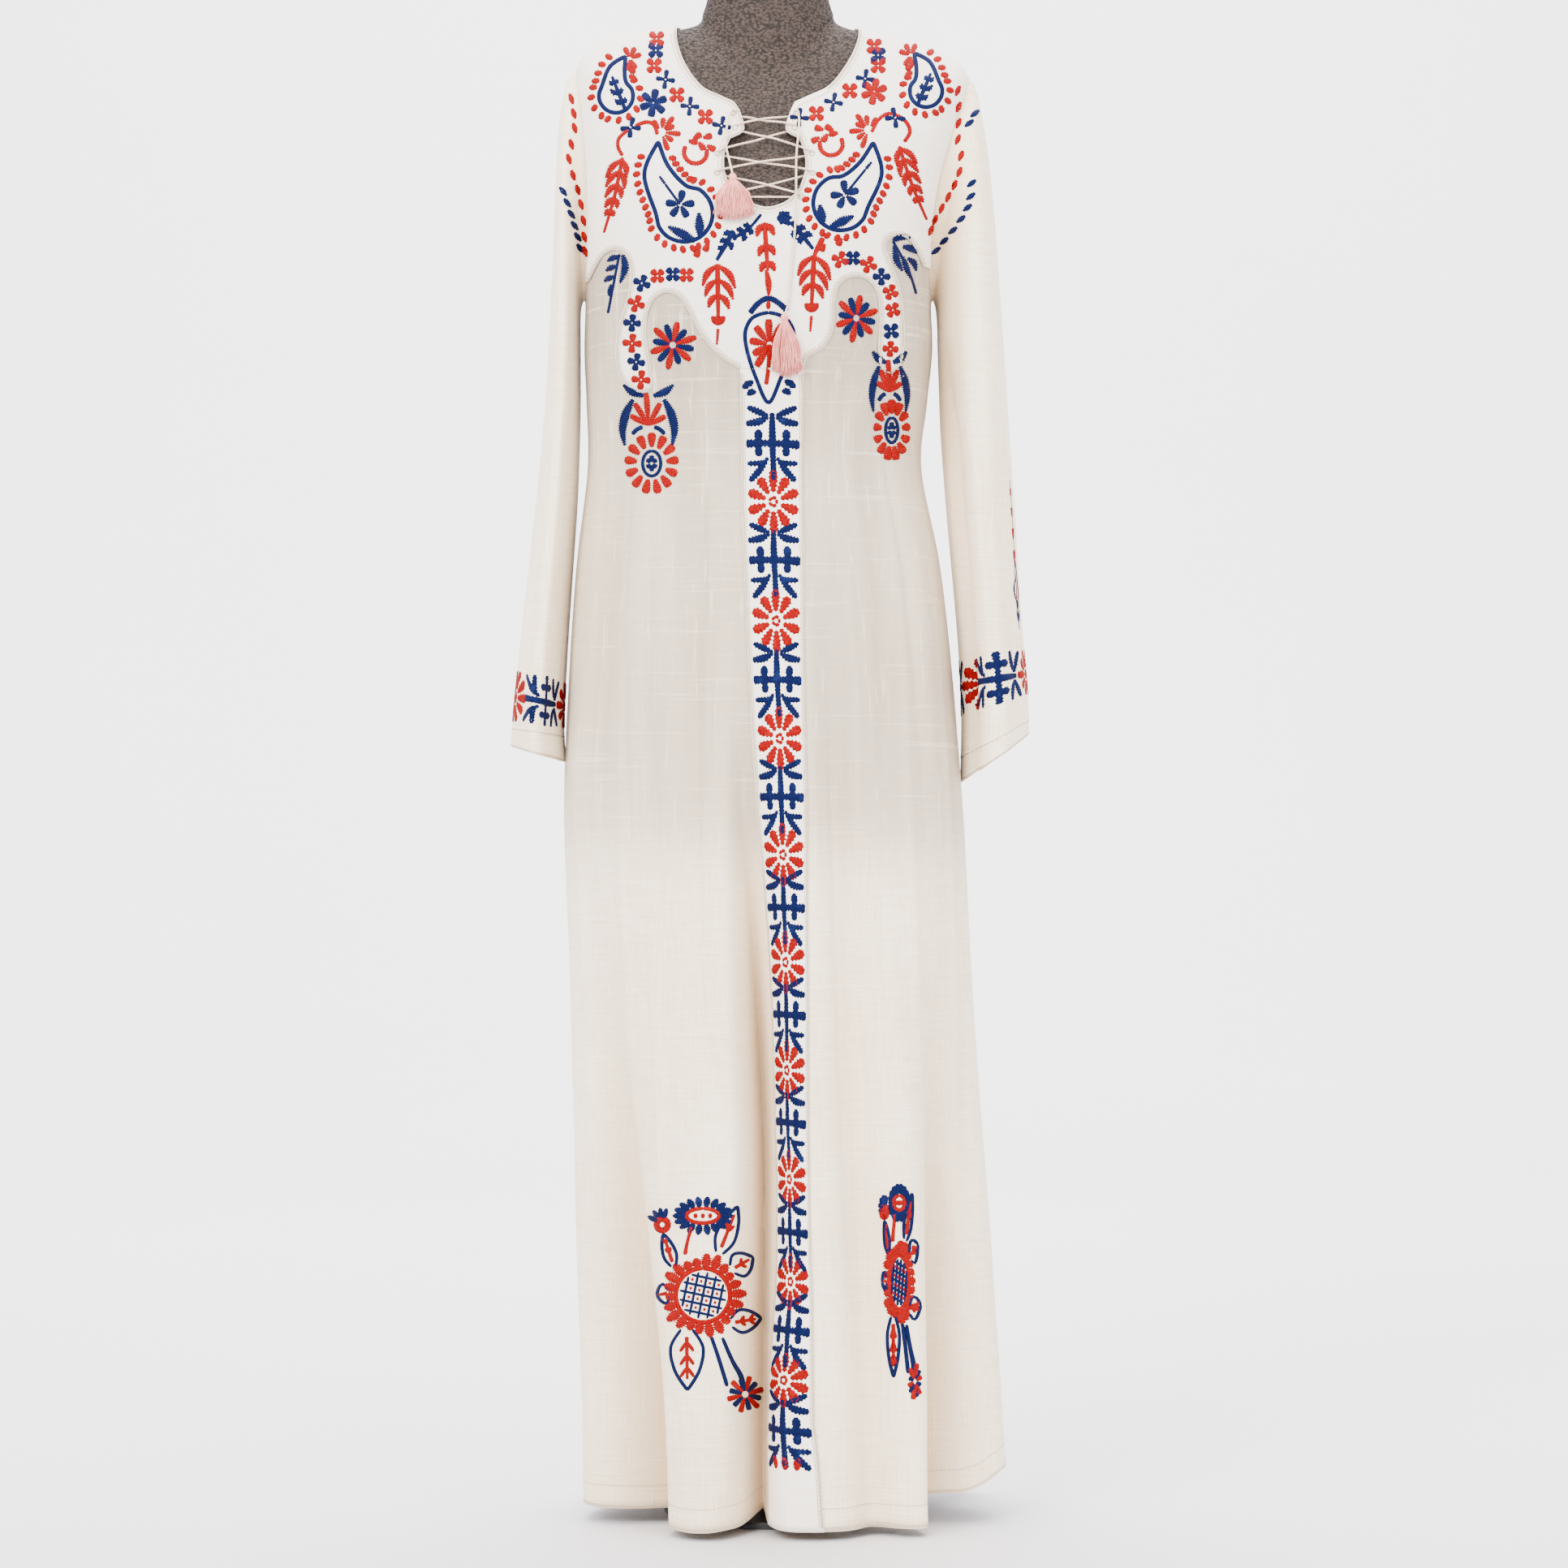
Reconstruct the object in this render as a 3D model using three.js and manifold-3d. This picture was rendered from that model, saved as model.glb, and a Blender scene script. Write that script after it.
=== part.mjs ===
// A long embroidered kaftan dress on a limbless dress form with a round stand. Millimetres, +Z up,
// the dress faces -Y, and the origin is on the floor under the middle of the stand's pole.
//
// The garment is worked out from rings round the body. A ring is a squared ellipse whose height may
// differ at its front, back and two sides, so the top rings climb over the shoulders to the neck.
// Long soft folds push the rings in and out. Every panel is a stretch of that one surface.
import * as THREE from 'three';
import { mergeVertices } from 'three/addons/utils/BufferGeometryUtils.js';
import Module from 'manifold-3d';

const wasm = await Module();
wasm.setup();

// Driving dimensions
const CLOTH = 1.2;            // thickness of the body cloth
const APPLIQUE = 1.2;         // thickness of the yoke and the centre band laid on it
const SEAM_GAP = 0.3;         // between pieces that are sewn together
const LACE_RADIUS = 1;
const EYELET_RADIUS = 1.9;
const POLE_RADIUS = 12.5;
const BASE_RADIUS = 100;
const BASE_THICKNESS = 6;
const YOKE_INSIDE = CLOTH + SEAM_GAP;
const YOKE_OUTSIDE = YOKE_INSIDE + APPLIQUE;

const DEG = Math.PI / 180;

// Turns a list of column names and rows of numbers into a list of row objects.
function table(columns, rows) {
  return rows.map((row) => Object.fromEntries(columns.map((name, i) => [name, row[i]])));
}

// A smooth value of every column between the rows, at a place that counts rows from 0.
function between(rows, place) {
  const last = rows.length - 1;
  const at = Math.min(Math.max(place, 0), last);
  const k = Math.min(Math.floor(at), last - 1);
  const t = at - k;
  const row = (i) => rows[Math.min(Math.max(i, 0), last)];
  const value = {};
  for (const name of Object.keys(rows[0])) {
    const [a, b, c, d] = [row(k - 1), row(k), row(k + 1), row(k + 2)].map((r) => r[name]);
    value[name] = b + 0.5 * t * (c - a + t * (2 * a - 5 * b + 4 * c - d + t * (3 * (b - c) + d - a)));
  }
  return value;
}

function smooth(from, to, value) {
  const t = Math.min(Math.max((value - from) / (to - from), 0), 1);
  return t * t * (3 - 2 * t);
}

// The dress from hem to neck: heights of the ring at its front, left, right and back, how far its
// middle lies to the right, its half width, and how far it reaches to the front and to the back.
const RINGS = table(
  ['zFront', 'zLeft', 'zRight', 'zBack', 'shift', 'half', 'front', 'back', 'square'],
  [
    [8, 8, 8, 8, 22, 192, 150, 134, 2.2],           // hem, see HEM
    [121, 121, 121, 121, 18.5, 191, 149, 134, 2.2],
    [248, 248, 248, 248, 11, 190, 148, 133, 2.2],
    [388, 388, 388, 388, 3.5, 188, 146, 132, 2.2],
    [518, 518, 518, 518, -2, 186, 143, 130, 2.2],
    [653, 653, 653, 653, -7.5, 185, 139, 128, 2.2],  // hips
    [767, 767, 767, 767, -9.5, 179, 133, 122, 2.2],
    [881, 881, 881, 881, -12, 169, 123, 111, 2.2],
    [972, 972, 972, 972, -15.5, 155, 115, 101, 2.2], // waist
    [1033, 1033, 1033, 1033, -13.5, 158, 118, 98, 2.2],
    [1083, 1083, 1083, 1083, -12, 161.5, 125, 99, 2.2],
    [1128, 1128, 1128, 1128, -12, 160.5, 127, 101, 2.25], // underarm
    [1173, 1183, 1178, 1178, -11, 163, 122, 103, 2.3],
    [1220, 1243, 1235, 1228, -8, 169, 109, 102, 2.35],
    [1260, 1303, 1291, 1273, -3, 177, 91, 96, 2.4],
    [1288, 1350, 1340, 1310, 1.5, 180, 73, 85, 2.4],  // shoulder point
    [1306, 1374, 1364, 1338, 0, 150, 61, 70, 2.3],
    [1322, 1381, 1377, 1358, -2, 110, 53, 58, 2.2],
    [1340, 1389, 1389, 1374, -3, 68, 47, 51, 2.1],    // foot of the neck
  ],
);
const WAIST_ROW = 8;
const ARMPIT_ROW = 11;
const SHOULDER_ROW = 15;
const NECK_ROW = RINGS.length - 1;
const ARMHOLE_ANGLE = 20; // half of the armhole's width at its middle, in degrees round the ring

// Height of the hem above the floor, by the angle in degrees from the front towards the right: it
// hangs low in front, lies higher in the deep valley and is caught up at the right side
const HEM = table(
  ['angle', 'height'],
  [
    [-180, 12], [-120, 13], [-90, 16], [-60, 14], [-48, 15], [-36, 8], [-22, 7], [-15.5, 9],
    [-12, 19], [-8, 10], [0, 8], [38, 8], [46, 22], [60, 28], [75, 46], [90, 68], [105, 60],
    [120, 42], [150, 18], [180, 12],
  ],
);

// Soft folds, by the same angle at the hem and higher up: depth (below 0 is a valley), width in
// degrees on its left and right side, the heights where it begins and is full, and where it has
// died away again.
const FOLDS = table(
  ['low', 'high', 'depth', 'left', 'right', 'begins', 'full', 'ends'],
  [
    [-12, -4.6, -58, 2.2, 4.4, 800, 380, -400],  // deep valley, the band lies on its right side
    [-24, -20, 13, 7, 6, 620, 80, -400],
    [-49, -52, -60, 7.5, 7, 628, 18, -400],      // hollow between the front and the left side
    [-72, -72, 9, 7, 7, 548, 48, -400],
    [22, 23, -20, 5, 4, 968, 288, -400],         // valley right of the band
    [34, 36, 10, 6, 6, 608, 48, -400],
    [48, 54, -64, 6, 9, 568, 18, -400],          // hollow between the front and the right side
    [74, 76, 8, 7, 7, 548, 48, -400],
    [-18, -18, -7, 3.6, 3.6, 1068, 888, 520],
    [-52, -52, -7, 4.5, 4.5, 1048, 868, 560],
    [39, 39, -7, 4.2, 4.2, 1068, 888, 560],
    [-36, -36, 4, 4.5, 4.5, 1028, 838, 560],
    [55, 55, 4, 4.5, 4.5, 1028, 838, 560],
    [104, 104, -30, 6.5, 6.5, 788, 68, -400],
    [124, 124, 14, 7, 7, 888, 48, -400],
    [146, 146, -42, 6.5, 6.5, 1038, 48, -400],
    [166, 166, 12, 6, 6, 888, 48, -400],
    [184, 184, -30, 5, 5, 988, 68, -400],
    [203, 203, 14, 7, 7, 888, 48, -400],
    [224, 224, -44, 6.5, 6.5, 1038, 48, -400],
    [246, 246, 12, 6, 6, 888, 48, -400],
    [262, 262, -24, 5, 5, 688, 68, -400],
  ],
);

const signedPower = (value, power) => Math.sign(value) * Math.abs(value) ** power;

function turnTo(angle, centre) {
  const away = (((angle - centre) % 360) + 540) % 360 - 180;
  return away;
}

function foldDepth(angle, z) {
  let depth = 0;
  for (const f of FOLDS) {
    const away = turnTo(angle, f.low + (f.high - f.low) * smooth(0, 400, z));
    const share = away / (away < 0 ? f.left : f.right);
    if (Math.abs(share) > 4) continue;
    const grown = smooth(f.begins, f.full, z) * smooth(f.ends, f.ends + 300, z);
    depth += f.depth * grown * Math.exp(-0.5 * share * share);
  }
  return depth;
}

function hemHeight(angle) {
  const at = turnTo(angle, 0);
  const k = HEM.findIndex((row, i) => i > 0 && at <= row.angle);
  const [a, b] = [HEM[k - 1], HEM[k]];
  return a.height + (b.height - a.height) * smooth(a.angle, b.angle, at);
}

// A point of the garment's inner face, angle in degrees from the front towards the right (+X).
function ringPoint(angle, row) {
  const r = between(RINGS, row);
  const s = Math.sin(angle * DEG);
  const c = Math.cos(angle * DEG);
  const power = 2 / r.square;
  const side = s > 0 ? r.zRight : r.zLeft;
  const middle = c > 0 ? r.zFront : r.zBack;
  const lift = row < 1 ? (hemHeight(angle) - RINGS[0].zFront) * (1 - row) ** 2 : 0;
  const z = side + (middle - side) * c * c + lift;
  const x = r.half * signedPower(s, power);
  const y = -(c > 0 ? r.front : r.back) * signedPower(c, power);
  const out = foldDepth(angle, z) / Math.hypot(x, y);
  return new THREE.Vector3(r.shift + x * (1 + out), y * (1 + out), z);
}

// The same point moved out from the cloth by a distance, square to the surface.
function bodyPoint(angle, row, out) {
  const round = ringPoint(angle + 0.2, row).sub(ringPoint(angle - 0.2, row));
  const high = Math.min(row + 0.02, NECK_ROW);
  const low = Math.max(row - 0.02, 0);
  const up = ringPoint(angle, high).sub(ringPoint(angle, low));
  return ringPoint(angle, row).addScaledVector(round.cross(up).normalize(), out);
}

// The surface seen from the front: the angle and row where it shows at a given x and z.
function placeAt(x, z) {
  let angle = 0;
  let row = 12;
  for (let i = 0; i < 40; i++) {
    const p = ringPoint(angle, row);
    const byAngle = ringPoint(angle + 0.1, row);
    const byRow = ringPoint(angle, row - 0.02);
    const [xa, za] = [(byAngle.x - p.x) / 0.1, (byAngle.z - p.z) / 0.1];
    const [xr, zr] = [(byRow.x - p.x) / -0.02, (byRow.z - p.z) / -0.02];
    const [dx, dz] = [x - p.x, z - p.z];
    const det = xa * zr - xr * za;
    angle += 0.7 * (dx * zr - dz * xr) / det;
    row += 0.7 * (dz * xa - dx * za) / det;
    angle = Math.min(Math.max(angle, -85), 85);
    row = Math.min(Math.max(row, 0), NECK_ROW);
  }
  return { angle, row };
}

// Solids

// One closed tube of cloth between two grids of points of the same size, joined all round.
function wall(outer, inner) {
  const rows = outer.length;
  const cols = outer[0].length;
  const positions = [...outer.flat(), ...inner.flat()].flatMap((p) => [p.x, p.y, p.z]);
  const index = [];
  const at = (face, r, c) => face * rows * cols + r * cols + (c % cols);
  const quad = (a, b, c, d) => index.push(a, b, c, a, c, d);
  for (let c = 0; c < cols; c++) {
    for (let r = 0; r < rows - 1; r++) {
      quad(at(0, r, c), at(0, r, c + 1), at(0, r + 1, c + 1), at(0, r + 1, c));
      quad(at(1, r, c), at(1, r + 1, c), at(1, r + 1, c + 1), at(1, r, c + 1));
    }
    quad(at(0, 0, c), at(1, 0, c), at(1, 0, c + 1), at(0, 0, c + 1));
    const last = rows - 1;
    quad(at(0, last, c), at(0, last, c + 1), at(1, last, c + 1), at(1, last, c));
  }
  return geometryOf(positions, index);
}

// One closed wall between two faces made of rows of points. Each row has its own number of points,
// and its own list of places along the row by which neighbouring rows are joined.
function stripWall(outer, inner, places) {
  const positions = [...outer.flat(), ...inner.flat()].flatMap((p) => [p.x, p.y, p.z]);
  const starts = [0];
  for (const row of outer) starts.push(starts.at(-1) + row.length);
  const behind = starts.at(-1);
  const index = [];
  const quad = (a, b, c, d) => index.push(a, b, c, a, c, d);
  const both = (a, b, c) => index.push(a, b, c, a + behind, c + behind, b + behind);
  for (let r = 0; r < outer.length - 1; r++) {
    const [low, high] = [places[r], places[r + 1]];
    let [i, j] = [0, 0];
    while (i < low.length - 1 || j < high.length - 1) {
      const [a, b] = [starts[r] + i, starts[r + 1] + j];
      if (j === high.length - 1 || (i < low.length - 1 && low[i + 1] <= high[j + 1])) {
        both(a, a + 1, b);
        i++;
      } else {
        both(a, b + 1, b);
        j++;
      }
    }
    const [a, b] = [starts[r], starts[r + 1]];
    quad(a, b, b + behind, a + behind);
    const [c, d] = [starts[r + 1] - 1, starts[r + 2] - 1];
    quad(c, c + behind, d + behind, d);
  }
  for (const r of [0, outer.length - 1]) {
    for (let a = starts[r]; a < starts[r + 1] - 1; a++) {
      if (r === 0) quad(a, a + behind, a + 1 + behind, a + 1);
      else quad(a, a + 1, a + 1 + behind, a + behind);
    }
  }
  return geometryOf(positions, index);
}

// A closed skin of rings with a flat fan over each end.
function loft(rings) {
  const cols = rings[0].length;
  const positions = rings.flat().flatMap((p) => [p.x, p.y, p.z]);
  const middle = (ring) => {
    const sum = ring.reduce((total, p) => total.add(p), new THREE.Vector3());
    return sum.divideScalar(cols);
  };
  const foot = positions.push(...middle(rings[0]).toArray()) / 3 - 1;
  const head = positions.push(...middle(rings.at(-1)).toArray()) / 3 - 1;
  const index = [];
  for (let r = 0; r < rings.length - 1; r++) {
    for (let c = 0; c < cols; c++) {
      const [a, b] = [r * cols + c, r * cols + ((c + 1) % cols)];
      index.push(a, b, b + cols, a, b + cols, a + cols);
    }
  }
  const top = (rings.length - 1) * cols;
  for (let c = 0; c < cols; c++) {
    index.push(foot, (c + 1) % cols, c);
    index.push(head, top + c, top + ((c + 1) % cols));
  }
  return geometryOf(positions, index);
}

function geometryOf(positions, index) {
  const geometry = new THREE.BufferGeometry();
  geometry.setAttribute('position', new THREE.Float32BufferAttribute(positions, 3));
  geometry.setIndex(index);
  return geometry;
}

function bareOf(geometry) {
  const bare = geometry.clone();
  bare.deleteAttribute('normal');
  bare.deleteAttribute('uv');
  return bare;
}

function solidOf(geometry) {
  const merged = mergeVertices(bareOf(geometry), 1e-4);
  const mesh = new wasm.Mesh({
    numProp: 3,
    vertProperties: merged.attributes.position.array,
    triVerts: new Uint32Array(merged.index.array),
  });
  return new wasm.Manifold(mesh);
}

function geometryFrom(solid) {
  const mesh = solid.getMesh();
  return geometryOf(Array.from(mesh.vertProperties), Array.from(mesh.triVerts));
}

// A prism that stands on an outline of x and z, between two depths.
function prism(outline, yFrom, yTo) {
  const shape = new THREE.Shape(outline.map(([x, z]) => new THREE.Vector2(x, z)));
  const geometry = new THREE.ExtrudeGeometry(shape, { depth: yTo - yFrom, bevelEnabled: false });
  geometry.rotateX(Math.PI / 2);
  geometry.translate(0, yTo, 0);
  return solidOf(geometry);
}

// A smooth outline through a few points, both ends kept.
function rounded(points, pieces) {
  const curve = new THREE.CatmullRomCurve3(points.map(([x, z]) => new THREE.Vector3(x, z, 0)));
  return curve.getPoints(pieces).map((p) => [p.x, p.y]);
}

// A tube of a given radius through points, closed at both ends.
function tube(points, radius, sides) {
  let across = new THREE.Vector3(0.31, 0.17, 0.94);
  const rings = points.map((point, i) => {
    const ahead = points[Math.min(i + 1, points.length - 1)];
    const behind = points[Math.max(i - 1, 0)];
    const along = ahead.clone().sub(behind).normalize();
    across = across.clone().addScaledVector(along, -across.dot(along)).normalize();
    const third = along.clone().cross(across);
    return Array.from({ length: sides }, (_, k) => {
      const turn = (2 * Math.PI * k) / sides;
      return point
        .clone()
        .addScaledVector(across, radius * Math.cos(turn))
        .addScaledVector(third, radius * Math.sin(turn));
    });
  });
  return loft(rings);
}

// Body panels

// The rows of a panel's grid. Beside the armhole they fall where the sleeve's own points are.
const SLEEVE_STEPS = 20;
const ARMHOLE_ROWS = Array.from({ length: SLEEVE_STEPS / 2 + 1 }, (_, k) => {
  const middle = (ARMPIT_ROW + SHOULDER_ROW) / 2;
  return middle - (SHOULDER_ROW - middle) * Math.cos((360 / SLEEVE_STEPS) * k * DEG);
});
const BODY_ROWS = [0, 0.6, 1.3, 2.1, 3, 4, 5, 6, 7, 8, 9, 10];
const PANEL_ROWS = [...BODY_ROWS, ...ARMHOLE_ROWS, 15.5, 16, 17, 18];

// The columns, in degrees round the ring: closer together at the deep folds of the skirt, and
// further apart above the waist
const FRONT_SKIRT = [
  -90, -82, -74, -67, -60, -54, -48, -41, -34, -27, -22, -18.5, -16, -14, -12, -10, -8, -6, -4, -1.5,
  1.5, 5, 9, 14, 18.5, 23, 28, 34, 39, 44, 49, 55, 61, 68, 75, 82, 90,
];
const FRONT_TOP = [
  -90, -80, -70, -60, -51, -42, -33.5, -25, -17, -8.5, 0, 8.5, 17, 25, 33.5, 42, 51, 60, 70, 80, 90,
];
const BACK_SKIRT = [
  90, 97, 104, 111, 118, 126, 134, 140, 146, 152, 160, 169, 178, 184, 190, 199, 209, 218, 224, 230,
  238, 247, 256, 262, 270,
].map((angle) => angle - 180);
const BACK_TOP = [-90, -80, -70, -60, -50, -40, -30, -20, -10, 0, 10, 20, 30, 40, 50, 60, 70, 80, 90];

// Half of the front's or back's span of angles at a row, less at the armhole.
function reachOf(row) {
  const middle = (ARMPIT_ROW + SHOULDER_ROW) / 2;
  const away = (row - middle) / (SHOULDER_ROW - middle);
  const hole = Math.abs(away) < 1 ? ARMHOLE_ANGLE * Math.sqrt(1 - away * away) : 0;
  const gap = (0.5 * SEAM_GAP) / between(RINGS, row).half / DEG;
  return 90 - gap - hole;
}

// The front (centre 0) or back (centre 180) as a wall between two distances from the surface.
function panel(centre, skirt, top, inside, outside, rows) {
  const places = rows.map((row) => (row < WAIST_ROW ? skirt : top));
  const face = (out) =>
    rows.map((row, r) => places[r].map((a) => bodyPoint(centre + (a / 90) * reachOf(row), row, out)));
  return stripWall(face(outside), face(inside), places);
}

// Neckline and keyhole slit seen from the front, and the back neckline
const NECKLINE_LEFT = [[-88, 1388], [-87, 1368], [-79, 1344], [-64, 1322], [-46, 1312], [-34, 1306]];
const SLIT_LEFT = [[-29, 1298], [-24.5, 1277], [-37, 1268], [-42, 1254], [-42, 1236], [-37, 1221]];
const SLIT_FOOT = [[-37, 1221], [-22, 1207.5], [-4, 1201], [14, 1206.5], [26, 1219]];
const SLIT_RIGHT = [[26, 1219], [31, 1235], [31, 1251], [26, 1268], [13.5, 1277], [18.5, 1298]];
const NECKLINE_RIGHT = [[22, 1306], [36, 1313], [54, 1323], [70, 1345], [80, 1368], [82, 1388]];

const frontOpening = prism(
  [
    [-88, 1500],
    ...rounded(NECKLINE_LEFT, 10),
    ...SLIT_LEFT.slice(0, -1),
    ...rounded(SLIT_FOOT, 10),
    ...SLIT_RIGHT.slice(1),
    ...rounded(NECKLINE_RIGHT, 10),
    [82, 1500],
  ],
  -260,
  0,
);
const BACK_NECKLINE = [[-88, 1388], [-62, 1376], [-3, 1369], [56, 1376], [82, 1388]];
const backOpening = prism([[-88, 1500], ...rounded(BACK_NECKLINE, 10), [82, 1500]], 0, 260);

// Yoke laid on the front, with an arch and a hanging lobe on each side of the centre
const YOKE_LEFT = [
  [-28, 1054], [-42, 1062], [-55, 1074], [-66, 1090], [-75, 1108], [-84, 1120], [-95, 1123.5],
  [-106, 1118], [-112, 1104], [-113, 1084], [-109, 1056], [-108, 1039], [-118, 1035], [-129, 1040],
  [-138, 1051], [-142, 1067], [-141, 1088], [-136, 1107], [-130, 1126], [-128, 1146], [-132, 1160],
  [-142, 1166.5], [-153, 1164], [-160, 1156], [-168, 1144],
];
const YOKE_RIGHT = [
  [30, 1054], [33, 1064], [46, 1072], [54, 1083], [57.5, 1097], [58, 1117], [62, 1130], [70, 1136.5],
  [80, 1138.5], [91, 1134], [97.5, 1122], [99, 1101], [98, 1076], [100, 1060], [109, 1054], [119, 1063],
  [122.5, 1085], [121, 1116], [116.5, 1137], [109, 1155], [104.5, 1168], [108, 1176], [117, 1179.5],
  [127, 1176.5], [134, 1167.5], [140, 1156],
];
const yokeOutline = prism(
  [
    ...rounded(YOKE_LEFT, 44),
    [-230, 1138],
    [-230, 1500],
    [230, 1500],
    [230, 1150],
    ...rounded(YOKE_RIGHT, 44).reverse(),
  ],
  -260,
  20,
);

// Edges of the centre band from the yoke to the hem. It turns into the valley on its left, so it
// looks narrower there from the front than it is along the cloth.
const BAND_EDGES = table(
  ['z', 'left', 'right'],
  [
    [1054, -27.7, 29.7],
    [933, -26.3, 29.7],
    [874, -24, 30.4],
    [771, -19.5, 31],
    [654, -12.5, 33.2],
    [544, -3.3, 33.9],
    [479, 0.3, 34.6],
    [398, 2.5, 34.6],
    [325, 4.7, 35.3],
    [252, 4.7, 36.8],
    [216, 3.2, 38.3],
    [143, -1.8, 39],
    [107, -2.6, 39.7],
    [71, -3.3, 44],
    [-5, -2.6, 49],
  ],
);
const bandSide = (side) => rounded(BAND_EDGES.map((edge) => [edge[side], edge.z]), 24);
const bandOutline = prism([...bandSide('left'), ...bandSide('right').reverse()], -260, 20);

// Lacing: eyelets beside the slit, from the top one down, on each side
const EYELETS = table(
  ['z', 'left', 'right'],
  [
    [1294, -34, 23.5],
    [1279, -32.5, 21.5],
    [1253, -48.5, 37.5],
    [1234, -48.5, 37.5],
    [1211.5, -37, 27],
  ],
);

function eyelet(level, side) {
  const e = EYELETS[level];
  const x = side < 0 ? e.left : e.right;
  const { angle, row } = placeAt(x, e.z);
  const foot = bodyPoint(angle, row, 0);
  const out = bodyPoint(angle, row, 1).sub(foot).normalize();
  return { x, z: e.z, foot, out };
}

function eyeletCutters() {
  let cutters;
  for (let level = 0; level < EYELETS.length; level++) {
    for (const side of [-1, 1]) {
      const { foot, out } = eyelet(level, side);
      const drill = new THREE.CylinderGeometry(EYELET_RADIUS, EYELET_RADIUS, 9, 7);
      drill.applyQuaternion(new THREE.Quaternion().setFromUnitVectors(new THREE.Vector3(0, 1, 0), out));
      drill.translate(foot.x + out.x * 1.5, foot.y + out.y * 1.5, foot.z + out.z * 1.5);
      cutters = cutters ? cutters.add(solidOf(drill)) : solidOf(drill);
    }
  }
  return cutters;
}
const eyelets = eyeletCutters();

function frontPanel() {
  const whole = solidOf(panel(0, FRONT_SKIRT, FRONT_TOP, 0, CLOTH, PANEL_ROWS));
  return geometryFrom(whole.subtract(frontOpening).subtract(eyelets));
}

function backPanel() {
  const whole = solidOf(panel(180, BACK_SKIRT, BACK_TOP, 0, CLOTH, PANEL_ROWS));
  return geometryFrom(whole.subtract(backOpening));
}

function yoke() {
  const rows = PANEL_ROWS.filter((row) => row >= WAIST_ROW);
  const layer = solidOf(panel(0, FRONT_SKIRT, FRONT_TOP, YOKE_INSIDE, YOKE_OUTSIDE, rows));
  return geometryFrom(layer.intersect(yokeOutline).subtract(frontOpening).subtract(eyelets));
}

function centreBand() {
  const rows = PANEL_ROWS.filter((row) => row <= ARMPIT_ROW);
  const layer = solidOf(panel(0, FRONT_SKIRT, FRONT_TOP, YOKE_INSIDE, YOKE_OUTSIDE, rows));
  const below = prism([[-60, -10], [90, -10], [90, 1054 - SEAM_GAP], [-60, 1054 - SEAM_GAP]], -260, 20);
  return geometryFrom(layer.intersect(bandOutline).intersect(below));
}

// Sleeves: the outer and the inner edge of each ring in x and z, where the ring's middle lies in y,
// and how far it reaches to the front and back of that
const SLEEVE_COLUMNS = ['xOuter', 'zOuter', 'xInner', 'zInner', 'yMiddle', 'reach'];
const LEFT_SLEEVE = table(SLEEVE_COLUMNS, [
  [184, 1346, 176.5, 1132, 0, 39],
  [191, 1332, 179, 1124, 0, 44],
  [197, 1298, 180, 1110, 1, 52],
  [200, 1250, 180, 1090, 2, 60],
  [202, 1193, 180, 1065, 3, 66],
  [205, 1128, 180, 1033, 4, 69],
  [209, 1053, 181, 988, 4, 70],
  [215, 978, 183, 938, 4, 70],
  [223, 903, 187, 878, 3, 70],
  [231, 833, 191, 818, 2, 71],
  [237, 773, 194, 763, 0, 72],
  [240.5, 736, 195, 730, -1, 73],
  [242, 714, 193, 699, -2, 73],
]);
const RIGHT_SLEEVE = table(SLEEVE_COLUMNS, [
  [187, 1336, 152.5, 1132, 0, 39],
  [193, 1319, 155, 1124, 0, 45],
  [201, 1273, 156.5, 1108, 0, 54],
  [207, 1216, 157, 1083, -1, 63],
  [212, 1148, 158, 1050, -2, 69],
  [217, 1073, 159.5, 1008, -3, 72],
  [222, 998, 163, 958, -4, 73],
  [227, 923, 168, 898, -5, 73],
  [231, 853, 173.5, 838, -5, 74],
  [236, 793, 177.5, 783, -4, 75],
  [239, 756, 179, 733, -3, 76],
  [240, 726, 178, 680, -2, 77],
]);

// Folds of a sleeve: degrees round it from its outer edge through its front, depth, width in
// degrees, and the rows where the fold begins and is full
const SLEEVE_FOLDS = {
  left: table(
    ['angle', 'depth', 'width', 'begins', 'full'],
    [
      [128, -9, 17, 2, 6],
      [62, -6, 15, 5, 9],
      [238, -8, 17, 2, 6],
      [296, -6, 15, 4, 8],
    ],
  ),
  right: table(
    ['angle', 'depth', 'width', 'begins', 'full'],
    [
      [144, -24, 12, 2.5, 6],
      [60, -6, 15, 5, 9],
      [238, -8, 17, 2, 6],
      [296, -6, 15, 4, 8],
    ],
  ),
};

// The armhole's edge, side -1 for the left and 1 for the right, turn 0 at the shoulder point and
// 90 at the front, moved out from the cloth's inner face.
function armholeEdge(side, turn, out) {
  const middle = (ARMPIT_ROW + SHOULDER_ROW) / 2;
  const row = middle + (SHOULDER_ROW - middle) * Math.cos(turn * DEG);
  return bodyPoint(side * (90 - ARMHOLE_ANGLE * Math.sin(turn * DEG)), row, out);
}

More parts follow.
